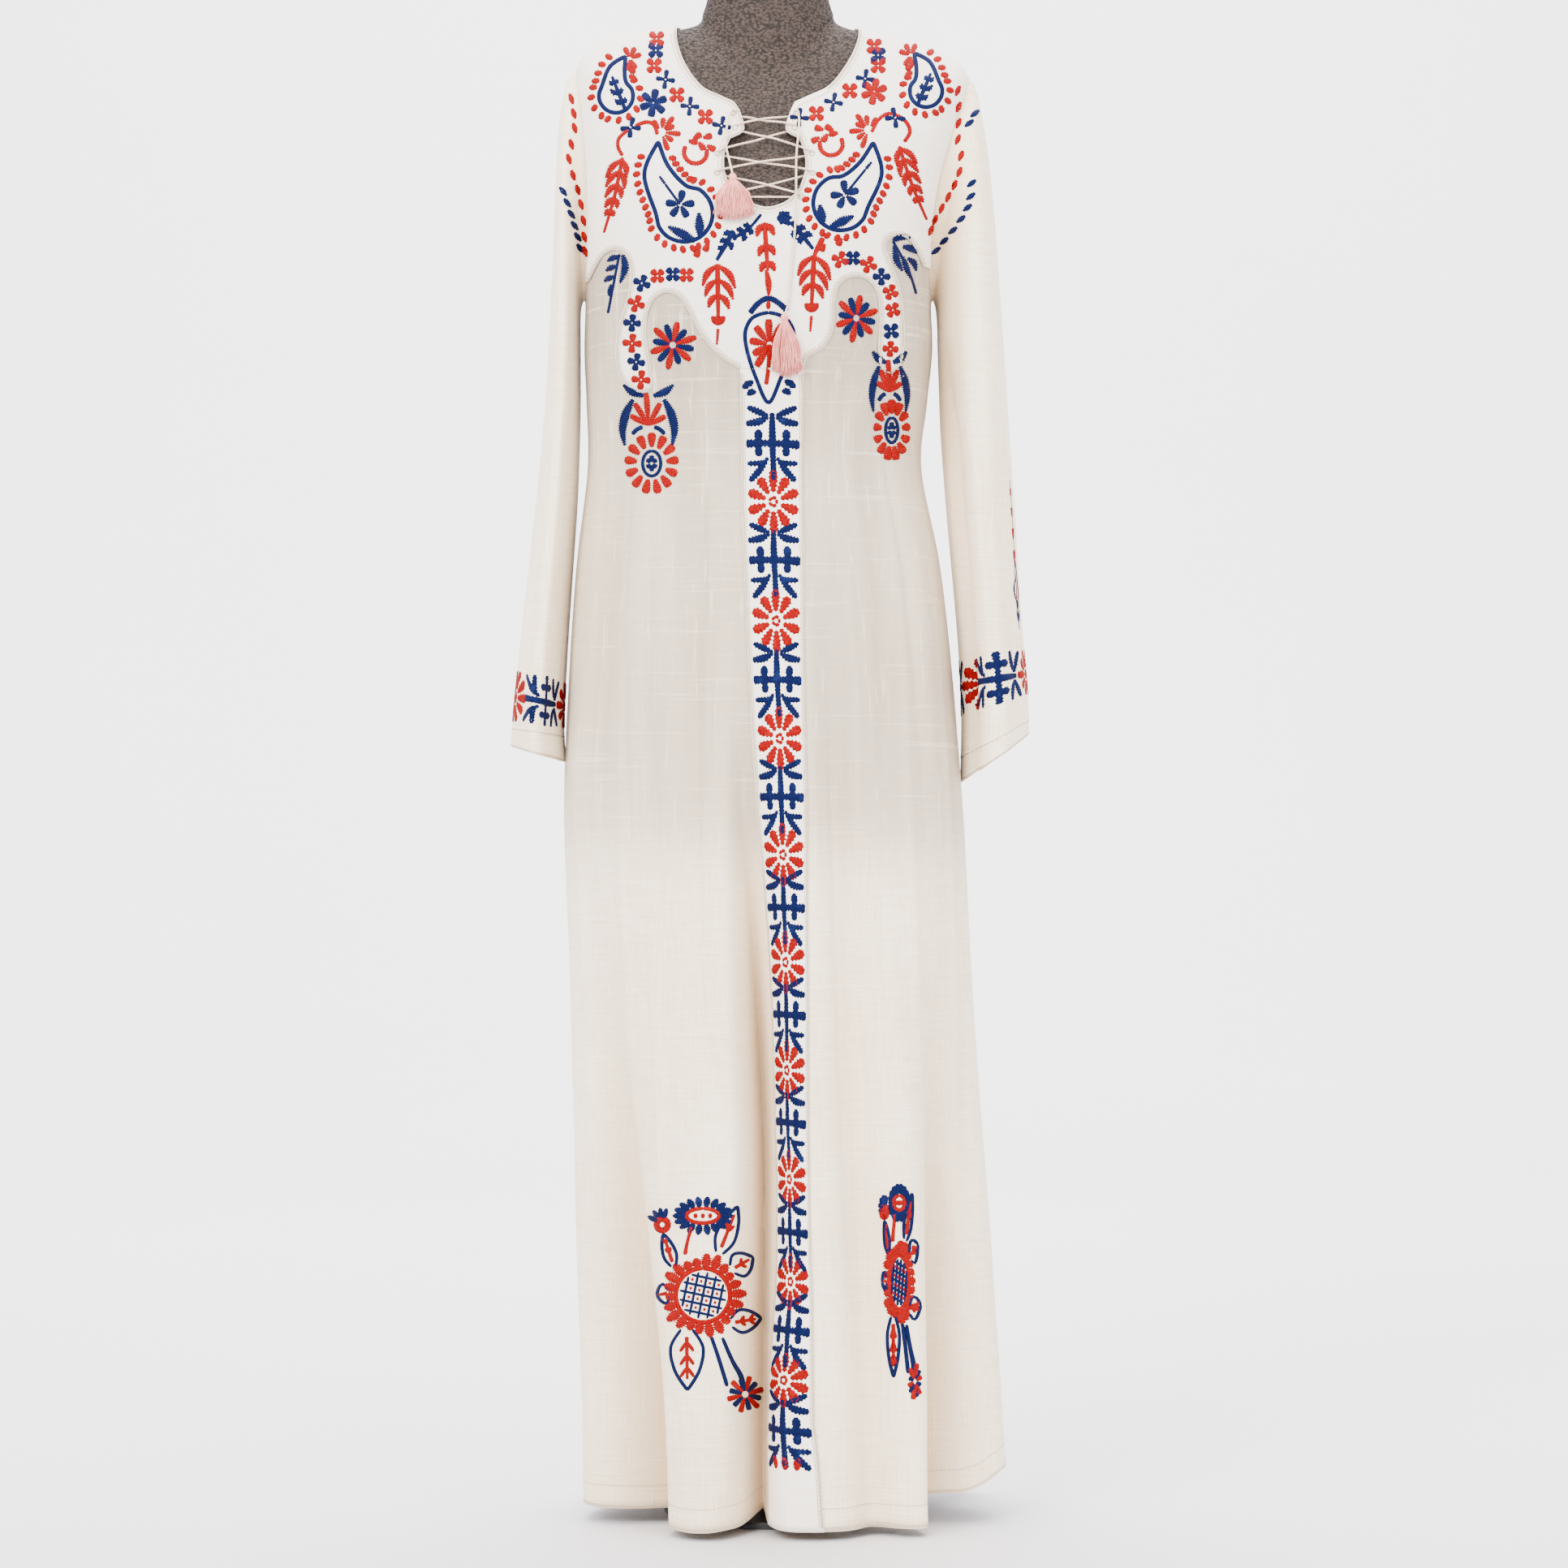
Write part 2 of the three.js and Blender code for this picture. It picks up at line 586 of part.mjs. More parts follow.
function sleevePoint(side, rows, folds, turn, row) {
  const r = between(rows, row);
  const [c, s] = [Math.cos(turn * DEG), Math.sin(turn * DEG)];
  const mid = new THREE.Vector3((side * (r.xOuter + r.xInner)) / 2, r.yMiddle, (r.zOuter + r.zInner) / 2);
  const toEdge = new THREE.Vector3((side * (r.xOuter - r.xInner)) / 2, 0, (r.zOuter - r.zInner) / 2);
  const point = mid.clone().addScaledVector(toEdge, c);
  point.y -= r.reach * s;
  let depth = 0;
  for (const f of folds) {
    const away = turnTo(turn, f.angle) / f.width;
    depth += f.depth * smooth(f.begins, f.full, row) * Math.exp(-0.5 * away * away);
  }
  const toPoint = point.clone().sub(mid);
  return point.addScaledVector(toPoint.normalize(), depth);
}

function sleeve(side, rows, folds) {
  const turns = Array.from({ length: SLEEVE_STEPS }, (_, k) => (360 * k) / SLEEVE_STEPS);
  const centre = new THREE.Vector3();
  for (const turn of turns) centre.addScaledVector(armholeEdge(side, turn, 0), 1 / SLEEVE_STEPS);
  const seam = (out) =>
    turns.map((turn) => {
      const edge = armholeEdge(side, turn, out);
      const inwards = centre.clone().sub(edge).normalize();
      return edge.addScaledVector(inwards, SEAM_GAP);
    });
  const inner = [seam(0)];
  for (let row = 0; row < rows.length; row++) {
    inner.push(turns.map((turn) => sleevePoint(side, rows, folds, turn, row)));
  }
  const outer = [seam(CLOTH)];
  for (let r = 1; r < inner.length; r++) {
    outer.push(
      inner[r].map((point, c) => {
        const left = inner[r][(c + 1) % SLEEVE_STEPS];
        const right = inner[r][(c + SLEEVE_STEPS - 1) % SLEEVE_STEPS];
        const along = inner[Math.min(r + 1, inner.length - 1)][c].clone().sub(inner[r - 1][c]);
        const normal = left.clone().sub(right).cross(along).normalize();
        return point.clone().addScaledVector(normal, -side * CLOTH);
      }),
    );
  }
  return side > 0 ? wall(outer.reverse(), inner.reverse()) : wall(outer, inner);
}

// Dress form: plain sections up to the chest, and above them the garment's own surface moved in by
// an ease at the front, side and back, so that the cloth lies on its shoulders
const FORM_SECTIONS = table(
  ['z', 'shift', 'half', 'front', 'back'],
  [
    [634, -2, 127, 84, 80],
    [639, -2, 134, 91, 86],
    [688, -4, 143, 101, 98],
    [753, -6, 141, 101, 97],
    [838, -9, 130, 94, 88],
    [943, -12, 117, 86, 77],
    [1023, -12, 126, 97, 80],
    [1080, -11, 138, 112, 87],
  ],
);
const FORM_EASE = table(
  ['row', 'front', 'side', 'back'],
  [
    [11.3, 7, 18, 9],
    [12, 6.5, 16, 5],
    [13, 6.5, 13, 3],
    [14, 6.5, 10, 2.4],
    [15, 6, 7, 2.2],
    [16, 3.5, 2, 1.6],
    [17, 2.2, 0.9, 1],
    [18, 2.2, 0.9, 1],
  ],
);
const NECK_RINGS = table(
  ['front', 'side', 'back', 'half', 'deep'],
  [
    [1362, 1401, 1389, 60.5, 45],
    [1388, 1415, 1407, 56.5, 46],
    [1422, 1431, 1429, 55, 47],
    [1452, 1453, 1453, 54.5, 47],
    [1456, 1457, 1457, 52, 44.5],
  ],
);
const NECK_SHIFT = -3;
const FORM_STEPS = 30;

// The garment's surface without its folds, moved out by a distance.
function unfoldedPoint(angle, row, out) {
  const kept = FOLDS.splice(0);
  const point = bodyPoint(angle, row, out);
  FOLDS.push(...kept);
  return point;
}

function formTorso() {
  const angles = Array.from({ length: FORM_STEPS }, (_, k) => (360 * k) / FORM_STEPS);
  const chest = FORM_SECTIONS.map((r) =>
    angles.map((angle) => {
      const [s, c] = [Math.sin(angle * DEG), Math.cos(angle * DEG)];
      const x = r.half * signedPower(s, 0.93);
      return new THREE.Vector3(r.shift + x, -(c > 0 ? r.front : r.back) * signedPower(c, 0.93), r.z);
    }),
  );
  const shoulders = FORM_EASE.map((ease) =>
    angles.map((angle) => {
      const c = Math.cos(angle * DEG);
      const inwards = ease.side + ((c > 0 ? ease.front : ease.back) - ease.side) * c * c;
      return unfoldedPoint(angle, ease.row, -inwards);
    }),
  );
  const neck = NECK_RINGS.map((r) =>
    angles.map((angle) => {
      const [s, c] = [Math.sin(angle * DEG), Math.cos(angle * DEG)];
      const z = r.side + ((c > 0 ? r.front : r.back) - r.side) * c * c;
      return new THREE.Vector3(NECK_SHIFT + r.half * s, -r.deep * c, z);
    }),
  );
  return loft([...chest, ...shoulders, ...neck]);
}

// A solid turned round the pole's axis from an outline of radius and height.
function turned(outline, steps) {
  const geometry = new THREE.LatheGeometry(outline.map(([r, z]) => new THREE.Vector2(r, z)), steps);
  geometry.rotateX(Math.PI / 2);
  return mergeVertices(bareOf(geometry), 1e-4);
}

function pole() {
  const foot = BASE_THICKNESS + SEAM_GAP;
  const head = FORM_SECTIONS[0].z - SEAM_GAP;
  return turned([[0, foot], [POLE_RADIUS, foot], [POLE_RADIUS, head], [0, head]], 20);
}

function base() {
  const edge = 1.5;
  return turned(
    [
      [0, 0], [BASE_RADIUS, 0], [BASE_RADIUS, BASE_THICKNESS - edge],
      [BASE_RADIUS - edge, BASE_THICKNESS], [0, BASE_THICKNESS],
    ],
    40,
  );
}

// Lace

const BEHIND = -LACE_RADIUS - 0.75;                 // the lace's middle where it lies behind the cloth
const AHEAD = YOKE_OUTSIDE + LACE_RADIUS + 0.75;    // and where it lies on the yoke

// A point of the front at x and z, moved out from the cloth's inner face.
function frontPoint(x, z, out) {
  const { angle, row } = placeAt(x, z);
  return bodyPoint(angle, row, out);
}

// Points at one eyelet on its front or its back, leading off towards another eyelet.
function leadOff(here, there, face) {
  const away = there.foot.clone().sub(here.foot);
  away.addScaledVector(here.out, -away.dot(here.out)).normalize();
  const steps =
    face === 'front'
      ? [[0, YOKE_OUTSIDE], [0.7, AHEAD - 0.5], [2.6, AHEAD], [6, AHEAD - 0.1]]
      : [[0, 0], [0.7, BEHIND * 0.72], [2.6, BEHIND], [6, BEHIND]];
  return steps.map(([along, up]) =>
    here.foot.clone().addScaledVector(away, along).addScaledVector(here.out, up),
  );
}

// From the back of one eyelet across the slit to the front of another, over or under at the middle.
function strand(from, to, over) {
  const share = (part, out) =>
    frontPoint(from.x + (to.x - from.x) * part, from.z + (to.z - from.z) * part, out);
  return [
    ...leadOff(from, to, 'back'),
    share(0.27, over ? 0.2 : -0.4),
    share(0.5, over ? 3.2 : 0.2),
    share(0.75, over ? 4.2 : 3.2),
    ...leadOff(to, from, 'front').reverse(),
  ];
}

// The whole lacing: down through every level, along the slit's foot, and up again over itself.
function lacing() {
  const foot = EYELETS.length - 1;
  const start = eyelet(0, -1);
  const points = [start.foot.clone().addScaledVector(start.out, AHEAD + 0.9)];
  points.push(start.foot.clone().addScaledVector(start.out, YOKE_OUTSIDE));
  let side = -1;
  for (let level = 0; level < foot; level++) {
    points.push(...strand(eyelet(level, side), eyelet(level + 1, -side), false));
    side = -side;
  }
  const [last, next] = [eyelet(foot, side), eyelet(foot, -side)];
  points.push(...leadOff(last, next, 'back'));
  points.push(frontPoint((last.x + next.x) / 2, last.z, -1.4));
  points.push(...leadOff(next, last, 'back').reverse());
  side = -side;
  for (let level = foot; level > 0; level--) {
    points.push(...strand(eyelet(level - 1, -side), eyelet(level, side), true).reverse());
    side = -side;
  }
  const end = eyelet(0, side);
  points.push(end.foot.clone().addScaledVector(end.out, YOKE_OUTSIDE));
  points.push(end.foot.clone().addScaledVector(end.out, AHEAD + 0.9));
  return points.filter((p, i) => i === 0 || p.distanceTo(points[i - 1]) > 0.05);
}

// The two ends of the lace that hang free, from their eyelets down to their tassels
const LEFT_END = table(
  ['x', 'z', 'out'],
  [[-34, 1294, 6.8], [-37.5, 1289, 6.6], [-40.5, 1272, 6.8], [-40.5, 1256, 7.6], [-37, 1240, 8.4], [-34.5, 1229, 8.8]],
);
const RIGHT_END = table(
  ['x', 'z', 'out'],
  [
    [23.5, 1294, 6.8], [25.5, 1289, 6.6], [25.5, 1272, 7.2], [23, 1246, 7.6], [22.5, 1213, 7.6],
    [22, 1188, 5.2], [19.5, 1154, 4.6], [16, 1116, 4.8], [12.5, 1103, 6],
  ],
);

function laceEnd(rows) {
  const points = rows.map((r) => frontPoint(r.x, r.z, r.out));
  points[0].addScaledVector(points[1].clone().sub(points[0]).normalize(), LACE_RADIUS + SEAM_GAP);
  const path = new THREE.CatmullRomCurve3(points);
  const section = new THREE.Shape(
    Array.from({ length: 8 }, (_, k) => {
      const turn = (2 * Math.PI * k) / 8;
      return new THREE.Vector2(LACE_RADIUS * Math.cos(turn), LACE_RADIUS * Math.sin(turn));
    }),
  );
  const steps = Math.round(path.getLength() / 5);
  return new THREE.ExtrudeGeometry(section, { extrudePath: path, steps, curveSegments: 1 });
}

// Tassels: the head hangs at x and z, the strands reach down by a length and spread by a width
const TASSELS = table(
  ['x', 'z', 'out', 'length', 'spread', 'lean'],
  [
    [-34.2, 1224.6, 9.2, 41, 36, 2],
    [12, 1099, 7.6, 55, 27, 2.5],
  ],
);
const TASSEL_STRANDS = 24;
const HEAD_RADIUS = 3.6;

// One three-sided strand of a tassel that tapers along three points.
function tasselStrand(points, turn) {
  const rings = points.map((point, i) => {
    const radius = [1.2, 1.4, 1][i];
    return [0, 1, 2].map((k) => {
      const at = turn + (2 * Math.PI * k) / 3;
      return point.clone().add(new THREE.Vector3(radius * Math.cos(at), radius * Math.sin(at), 0));
    });
  });
  return solidOf(loft(rings.reverse()));
}

function tassel(t) {
  const middle = frontPoint(t.x, t.z, t.out);
  const head = new THREE.SphereGeometry(HEAD_RADIUS, 10, 7);
  head.scale(1, 0.85, 1.15);
  head.translate(middle.x, middle.y, middle.z);
  let solid = solidOf(head);
  for (let k = 0; k < TASSEL_STRANDS; k++) {
    // three layers of strands, each fanned out across the spread
    const layer = k % 3;
    const across = (k + 0.5) / TASSEL_STRANDS - 0.5;
    const uneven = Math.sin(k * 12.9898) * 0.5;
    const reach = t.length * (1 - 0.25 * across * across - 0.05 * (1 + uneven));
    const bow = 1 - 0.12 * Math.abs(across);
    const at = (part, wide, out) =>
      frontPoint(t.x + t.lean * part + t.spread * across * wide, t.z - reach * part * bow, out);
    const rise = 2.6 - layer * 2.1;
    const root = middle.clone().add(new THREE.Vector3(3.4 * across, rise * 0.5, -1.2));
    const points = [root, at(0.42, 0.8, t.out - rise * 0.9), at(1, 1, t.out - rise)];
    solid = solid.add(tasselStrand(points, k * 0.7));
  }
  return geometryFrom(solid);
}

// Assembly

const group = new THREE.Group();
const materials = {
  cotton: new THREE.MeshStandardMaterial({ color: 0xf1eadf, roughness: 0.9, metalness: 0 }),
  yokeCotton: new THREE.MeshStandardMaterial({ color: 0xf7f2ea, roughness: 0.85, metalness: 0 }),
  lace: new THREE.MeshStandardMaterial({ color: 0xecdccd, roughness: 0.8, metalness: 0 }),
  tassel: new THREE.MeshStandardMaterial({ color: 0xf3b9b0, roughness: 0.75, metalness: 0 }),
  form: new THREE.MeshStandardMaterial({ color: 0x5b5047, roughness: 0.8, metalness: 0 }),
  steel: new THREE.MeshStandardMaterial({ color: 0x2b2b2d, roughness: 0.4, metalness: 0.7 }),
};

function add(name, geometry, material) {
  const mesh = new THREE.Mesh(geometry, material);
  mesh.name = name;
  group.add(mesh);
}

add('front_panel', frontPanel(), materials.cotton);
add('back_panel', backPanel(), materials.cotton);
add('yoke', yoke(), materials.yokeCotton);
add('centre_band', centreBand(), materials.yokeCotton);
add('sleeve_left', sleeve(-1, LEFT_SLEEVE, SLEEVE_FOLDS.left), materials.cotton);
add('sleeve_right', sleeve(1, RIGHT_SLEEVE, SLEEVE_FOLDS.right), materials.cotton);
add('lacing', tube(lacing(), LACE_RADIUS, 8), materials.lace);
add('lace_end_left', laceEnd(LEFT_END), materials.lace);
add('lace_end_right', laceEnd(RIGHT_END), materials.lace);
add('tassel_left', tassel(TASSELS[0]), materials.tassel);
add('tassel_right', tassel(TASSELS[1]), materials.tassel);
add('form_torso', formTorso(), materials.form);
add('pole', pole(), materials.steel);
add('base', base(), materials.steel);

export default group;
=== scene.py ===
# The look of a long embroidered kaftan dress on a limbless dress form. The sizes below are in
# millimetres, as a dressmaker would note them, and every mesh is made in metres.
import math

import bmesh
import bpy
import numpy as np
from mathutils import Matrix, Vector
from mathutils.bvhtree import BVHTree


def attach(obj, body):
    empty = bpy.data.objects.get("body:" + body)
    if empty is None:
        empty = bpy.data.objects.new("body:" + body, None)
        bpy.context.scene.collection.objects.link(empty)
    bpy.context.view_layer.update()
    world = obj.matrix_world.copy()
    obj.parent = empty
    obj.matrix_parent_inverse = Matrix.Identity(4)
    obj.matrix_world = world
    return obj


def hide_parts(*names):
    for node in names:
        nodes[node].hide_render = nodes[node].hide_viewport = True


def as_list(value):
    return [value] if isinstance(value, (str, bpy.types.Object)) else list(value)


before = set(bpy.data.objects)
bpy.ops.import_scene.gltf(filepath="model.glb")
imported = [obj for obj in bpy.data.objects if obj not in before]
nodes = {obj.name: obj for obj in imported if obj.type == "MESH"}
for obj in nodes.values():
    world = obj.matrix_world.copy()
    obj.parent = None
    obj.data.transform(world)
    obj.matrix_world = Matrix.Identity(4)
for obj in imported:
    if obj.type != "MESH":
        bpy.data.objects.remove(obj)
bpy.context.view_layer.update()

MM = 0.001
CLOTH = 1.2
YOKE_INSIDE = 1.5
YOKE_OUTSIDE = 2.7
SEAM_GAP = 0.3
LACE_RADIUS = 1.0

# Camera: a little right of the middle, level with the skirt, 3.5 m away
CAMERA_X, CAMERA_Y, CAMERA_Z = 12.0, -3500.0, 678.6
PHOTO_SIZE = 1932
FOCAL_PIXELS = 4605.0
SENSOR = 36.0


# The garment's surface, the same as in the solids, with finer creases

# heights of the ring at the front, left, right and back, shift right, half width, front and back
# reach, squareness
RINGS = np.array([
    [8, 8, 8, 8, 22, 192, 150, 134, 2.2],
    [121, 121, 121, 121, 18.5, 191, 149, 134, 2.2],
    [248, 248, 248, 248, 11, 190, 148, 133, 2.2],
    [388, 388, 388, 388, 3.5, 188, 146, 132, 2.2],
    [518, 518, 518, 518, -2, 186, 143, 130, 2.2],
    [653, 653, 653, 653, -7.5, 185, 139, 128, 2.2],
    [767, 767, 767, 767, -9.5, 179, 133, 122, 2.2],
    [881, 881, 881, 881, -12, 169, 123, 111, 2.2],
    [972, 972, 972, 972, -15.5, 155, 115, 101, 2.2],
    [1033, 1033, 1033, 1033, -13.5, 158, 118, 98, 2.2],
    [1083, 1083, 1083, 1083, -12, 161.5, 125, 99, 2.2],
    [1128, 1128, 1128, 1128, -12, 160.5, 127, 101, 2.25],
    [1173, 1183, 1178, 1178, -11, 163, 122, 103, 2.3],
    [1220, 1243, 1235, 1228, -8, 169, 109, 102, 2.35],
    [1260, 1303, 1291, 1273, -3, 177, 91, 96, 2.4],
    [1288, 1350, 1340, 1310, 1.5, 180, 73, 85, 2.4],
    [1306, 1374, 1364, 1338, 0, 150, 61, 70, 2.3],
    [1322, 1381, 1377, 1358, -2, 110, 53, 58, 2.2],
    [1340, 1389, 1389, 1374, -3, 68, 47, 51, 2.1],
], float)
WAIST_ROW, ARMPIT_ROW, SHOULDER_ROW, NECK_ROW = 8, 11, 15, 18
ARMHOLE_ANGLE = 20
ARMHOLE_ROW = (ARMPIT_ROW + SHOULDER_ROW) / 2
ARMHOLE_REACH = SHOULDER_ROW - ARMHOLE_ROW

HEM = np.array([
    [-180, 12], [-120, 13], [-90, 16], [-60, 14], [-48, 15], [-36, 8], [-22, 7], [-15.5, 9],
    [-12, 19], [-8, 10], [0, 8], [38, 8], [46, 22], [60, 28], [75, 46], [90, 68], [105, 60],
    [120, 42], [150, 18], [180, 12],
], float)

# angle at the hem and higher up, depth, width left and right, where it begins, is full, has ended
FOLDS = [
    [-12, -4.6, -58, 2.2, 4.4, 800, 380, -400],
    [-24, -20, 13, 7, 6, 620, 80, -400],
    [-49, -52, -60, 7.5, 7, 628, 18, -400],
    [-72, -72, 9, 7, 7, 548, 48, -400],
    [22, 23, -20, 5, 4, 968, 288, -400],
    [34, 36, 10, 6, 6, 608, 48, -400],
    [48, 54, -64, 6, 9, 568, 18, -400],
    [74, 76, 8, 7, 7, 548, 48, -400],
    [-18, -18, -7, 3.6, 3.6, 1068, 888, 520],
    [-52, -52, -7, 4.5, 4.5, 1048, 868, 560],
    [39, 39, -7, 4.2, 4.2, 1068, 888, 560],
    [-36, -36, 4, 4.5, 4.5, 1028, 838, 560],
    [55, 55, 4, 4.5, 4.5, 1028, 838, 560],
    [104, 104, -30, 6.5, 6.5, 788, 68, -400],
    [124, 124, 14, 7, 7, 888, 48, -400],
    [146, 146, -42, 6.5, 6.5, 1038, 48, -400],
    [166, 166, 12, 6, 6, 888, 48, -400],
    [184, 184, -30, 5, 5, 988, 68, -400],
    [203, 203, 14, 7, 7, 888, 48, -400],
    [224, 224, -44, 6.5, 6.5, 1038, 48, -400],
    [246, 246, 12, 6, 6, 888, 48, -400],
    [262, 262, -24, 5, 5, 688, 68, -400],
]

# finer creases that only the look has: angle at the lower and upper end, depth, width in degrees,
# lower and upper height
CREASES = [
    [-83, -80, -2.5, 1.6, 60, 900], [-62, -66, 3.0, 2.0, 120, 820], [-57, -60, -2.2, 1.2, 560, 1010],
    [-44, -40, 2.6, 1.3, 300, 960], [-38, -44, -2.4, 1.1, 620, 1000], [-33, -30, 2.2, 1.4, 60, 700],
    [-29, -33, -2.0, 1.0, 500, 930], [-15, -13, 2.4, 1.0, 300, 1000], [-12, -16, -1.6, 0.8, 700, 1010],
    [13, 12, 2.0, 1.1, 500, 1010], [17, 19, -2.0, 1.0, 120, 900], [27, 26, 2.6, 1.3, 420, 1000],
    [31, 33, -2.2, 1.0, 40, 720], [43, 46, 2.4, 1.4, 350, 960], [51, 49, -2.6, 1.2, 620, 1020],
    [62, 66, 2.6, 1.8, 60, 760], [69, 71, -2.4, 1.4, 200, 900], [84, 82, 2.0, 1.5, 90, 800],
    [97, 95, 2.6, 1.6, 80, 780], [113, 112, -2.2, 1.3, 260, 930], [131, 133, 2.4, 1.5, 90, 900],
    [139, 137, -2.2, 1.2, 480, 1030], [155, 157, 2.6, 1.4, 120, 820], [174, 173, -2.4, 1.2, 300, 1000],
    [192, 194, 2.4, 1.5, 60, 880], [213, 211, -2.2, 1.2, 420, 1010], [234, 236, 2.4, 1.6, 90, 830],
    [252, 250, -2.2, 1.3, 260, 930],
]

# short soft puckers in the upper cloth: angle, height, depth, width in degrees, half length, lean
PUCKERS = [
    [-48, 1090, -1.6, 1.6, 60, 10], [-38, 1060, 1.4, 1.4, 55, 8], [-64, 1110, -1.8, 1.8, 46, 14],
    [40, 1085, -1.6, 1.6, 58, -10], [52, 1070, 1.4, 1.5, 52, -12], [66, 1112, -1.8, 1.8, 46, -14],
    [-30, 1180, 0.9, 2.2, 50, 6], [24, 1185, 0.9, 2.0, 46, -8], [-20, 1120, -0.8, 1.6, 40, 4],
    [14, 1120, -0.7, 1.6, 36, -2], [-56, 1230, -1.2, 2.0, 42, 10], [54, 1235, -1.2, 2.0, 40, -12],
    [150, 1150, -1.4, 2.4, 70, 6], [176, 1180, 1.0, 2.6, 60, 0], [205, 1160, -1.4, 2.4, 66, -6],
    [128, 1080, -1.6, 2.0, 60, 8], [232, 1090, -1.6, 2.0, 58, -8],
]


def smooth(start, end, value):
    t = np.clip((np.asarray(value, float) - start) / (end - start), 0, 1)
    return t * t * (3 - 2 * t)


def between(rows, place):
    """A smooth value of each column of rows at a place that counts rows from 0."""
    last = len(rows) - 1
    at = np.clip(np.asarray(place, float), 0, last)
    k = np.minimum(np.floor(at).astype(int), last - 1)
    t = (at - k)[..., None]
    a, b, c, d = (rows[np.clip(k + i, 0, last)] for i in (-1, 0, 1, 2))
    return b + 0.5 * t * (c - a + t * (2 * a - 5 * b + 4 * c - d + t * (3 * (b - c) + d - a)))


def run_of(points):
    """How far each point of a line lies along it."""
    return np.concatenate([[0], np.cumsum(np.linalg.norm(np.diff(points, axis=0), axis=1))])


def picked(points, along, at):
    """The points of a line at given distances along it."""
    return np.stack([np.interp(at, along, points[:, k]) for k in range(points.shape[1])], axis=1)


def unit_long(vectors):
    return vectors / np.linalg.norm(vectors, axis=-1, keepdims=True)


def turn_to(angle, centre):
    return (np.asarray(angle, float) - centre + 180) % 360 - 180


def hem_height(angle):
    at = turn_to(angle, 0)
    k = np.clip(np.searchsorted(HEM[:, 0], at) - 1, 0, len(HEM) - 2)
    share = smooth(0, 1, (at - HEM[k, 0]) / (HEM[k + 1, 0] - HEM[k, 0]))
    return HEM[k, 1] + (HEM[k + 1, 1] - HEM[k, 1]) * share


def fold_depth(angle, z, creased):
    depth = np.zeros(np.broadcast(angle, z).shape)
    for low, high, deep, left, right, begins, full, ends in FOLDS:
        away = turn_to(angle, low + (high - low) * smooth(0, 400, z))
        share = away / np.where(away < 0, left, right)
        grown = smooth(begins, full, z) * smooth(ends, ends + 300, z)
        depth += deep * grown * np.exp(-0.5 * share**2) * (np.abs(share) < 4)
    if not creased:
        return depth
    for low, high, deep, width, foot, head in CREASES:
        part = (z - foot) / (head - foot)
        away = turn_to(angle, low + (high - low) * part) / width
        fade = smooth(0, 0.3, part) * smooth(1, 0.7, part)
        depth += deep * fade * np.exp(-0.5 * away**2)
    for at, height, deep, width, reach, lean in PUCKERS:
        part = (z - height) / reach
        away = turn_to(angle, at + lean * part * 0.5) / width
        depth += deep * np.exp(-0.5 * (away**2 + part**4))
    return depth


def signed_power(value, power):
    return np.sign(value) * np.abs(value) ** power


def ring_point(angle, row, creased=True, folded=True):
    """The garment's inner face, angle in degrees from the front towards the right."""
    r = between(RINGS, row)
    s, c = np.sin(np.radians(angle)), np.cos(np.radians(angle))
    power = 2 / r[..., 8]
    side = np.where(s > 0, r[..., 2], r[..., 1])
    middle = np.where(c > 0, r[..., 0], r[..., 3])
    lift = (hem_height(angle) - RINGS[0, 0]) * np.clip(1 - row, 0, 1) ** 2
    z = side + (middle - side) * c * c + lift
    x = r[..., 5] * signed_power(s, power)
    y = -np.where(c > 0, r[..., 6], r[..., 7]) * signed_power(c, power)
    out = fold_depth(angle, z, creased) / np.hypot(x, y) if folded else 0
    return np.stack([r[..., 4] + x * (1 + out), y * (1 + out), z], axis=-1)


def body_point(angle, row, out, creased=True, folded=True):
    """A point moved out from the garment's inner face, square to it."""
    def inner(angle, row):
        return ring_point(angle, row, creased, folded)

    angle, row = np.broadcast_arrays(np.asarray(angle, float), np.asarray(row, float))
    across = inner(angle + 0.2, row) - inner(angle - 0.2, row)
    up = inner(angle, np.minimum(row + 0.02, NECK_ROW)) - inner(angle, np.maximum(row - 0.02, 0))
    return inner(angle, row) + unit_long(np.cross(across, up)) * np.asarray(out, float)[..., None]


def place_at(x, z):
    """Angle and row of the front where it shows at x and z."""
    x, z = np.asarray(x, float), np.asarray(z, float)
    angle, row = np.zeros(x.shape), np.full(x.shape, 12.0)
    for _ in range(40):
        p = ring_point(angle, row, False)
        by_angle = (ring_point(angle + 0.1, row, False) - p) / 0.1
        by_row = (ring_point(angle, row - 0.02, False) - p) / -0.02
        dx, dz = x - p[..., 0], z - p[..., 2]
        det = by_angle[..., 0] * by_row[..., 2] - by_row[..., 0] * by_angle[..., 2]
        angle = np.clip(angle + 0.7 * (dx * by_row[..., 2] - dz * by_row[..., 0]) / det, -85, 85)
        row = np.clip(row + 0.7 * (dz * by_angle[..., 0] - dx * by_angle[..., 2]) / det, 0, NECK_ROW)
    return angle, row


# Meshes

def mesh_piece(name, points, faces, smooth_faces=True):
    """A new object from points in millimetres."""
    mesh = bpy.data.meshes.new(name)
    mesh.from_pydata([tuple(p) for p in np.asarray(points) * MM], [], [tuple(f) for f in faces])
    mesh.validate()
    mesh.update()
    piece = bpy.data.objects.new(name, mesh)
    bpy.context.collection.objects.link(piece)
    if smooth_faces:
        mesh.polygons.foreach_set("use_smooth", [True] * len(mesh.polygons))
    return piece


def only(piece):
    bpy.ops.object.select_all(action="DESELECT")
    piece.select_set(True)
    bpy.context.view_layer.objects.active = piece


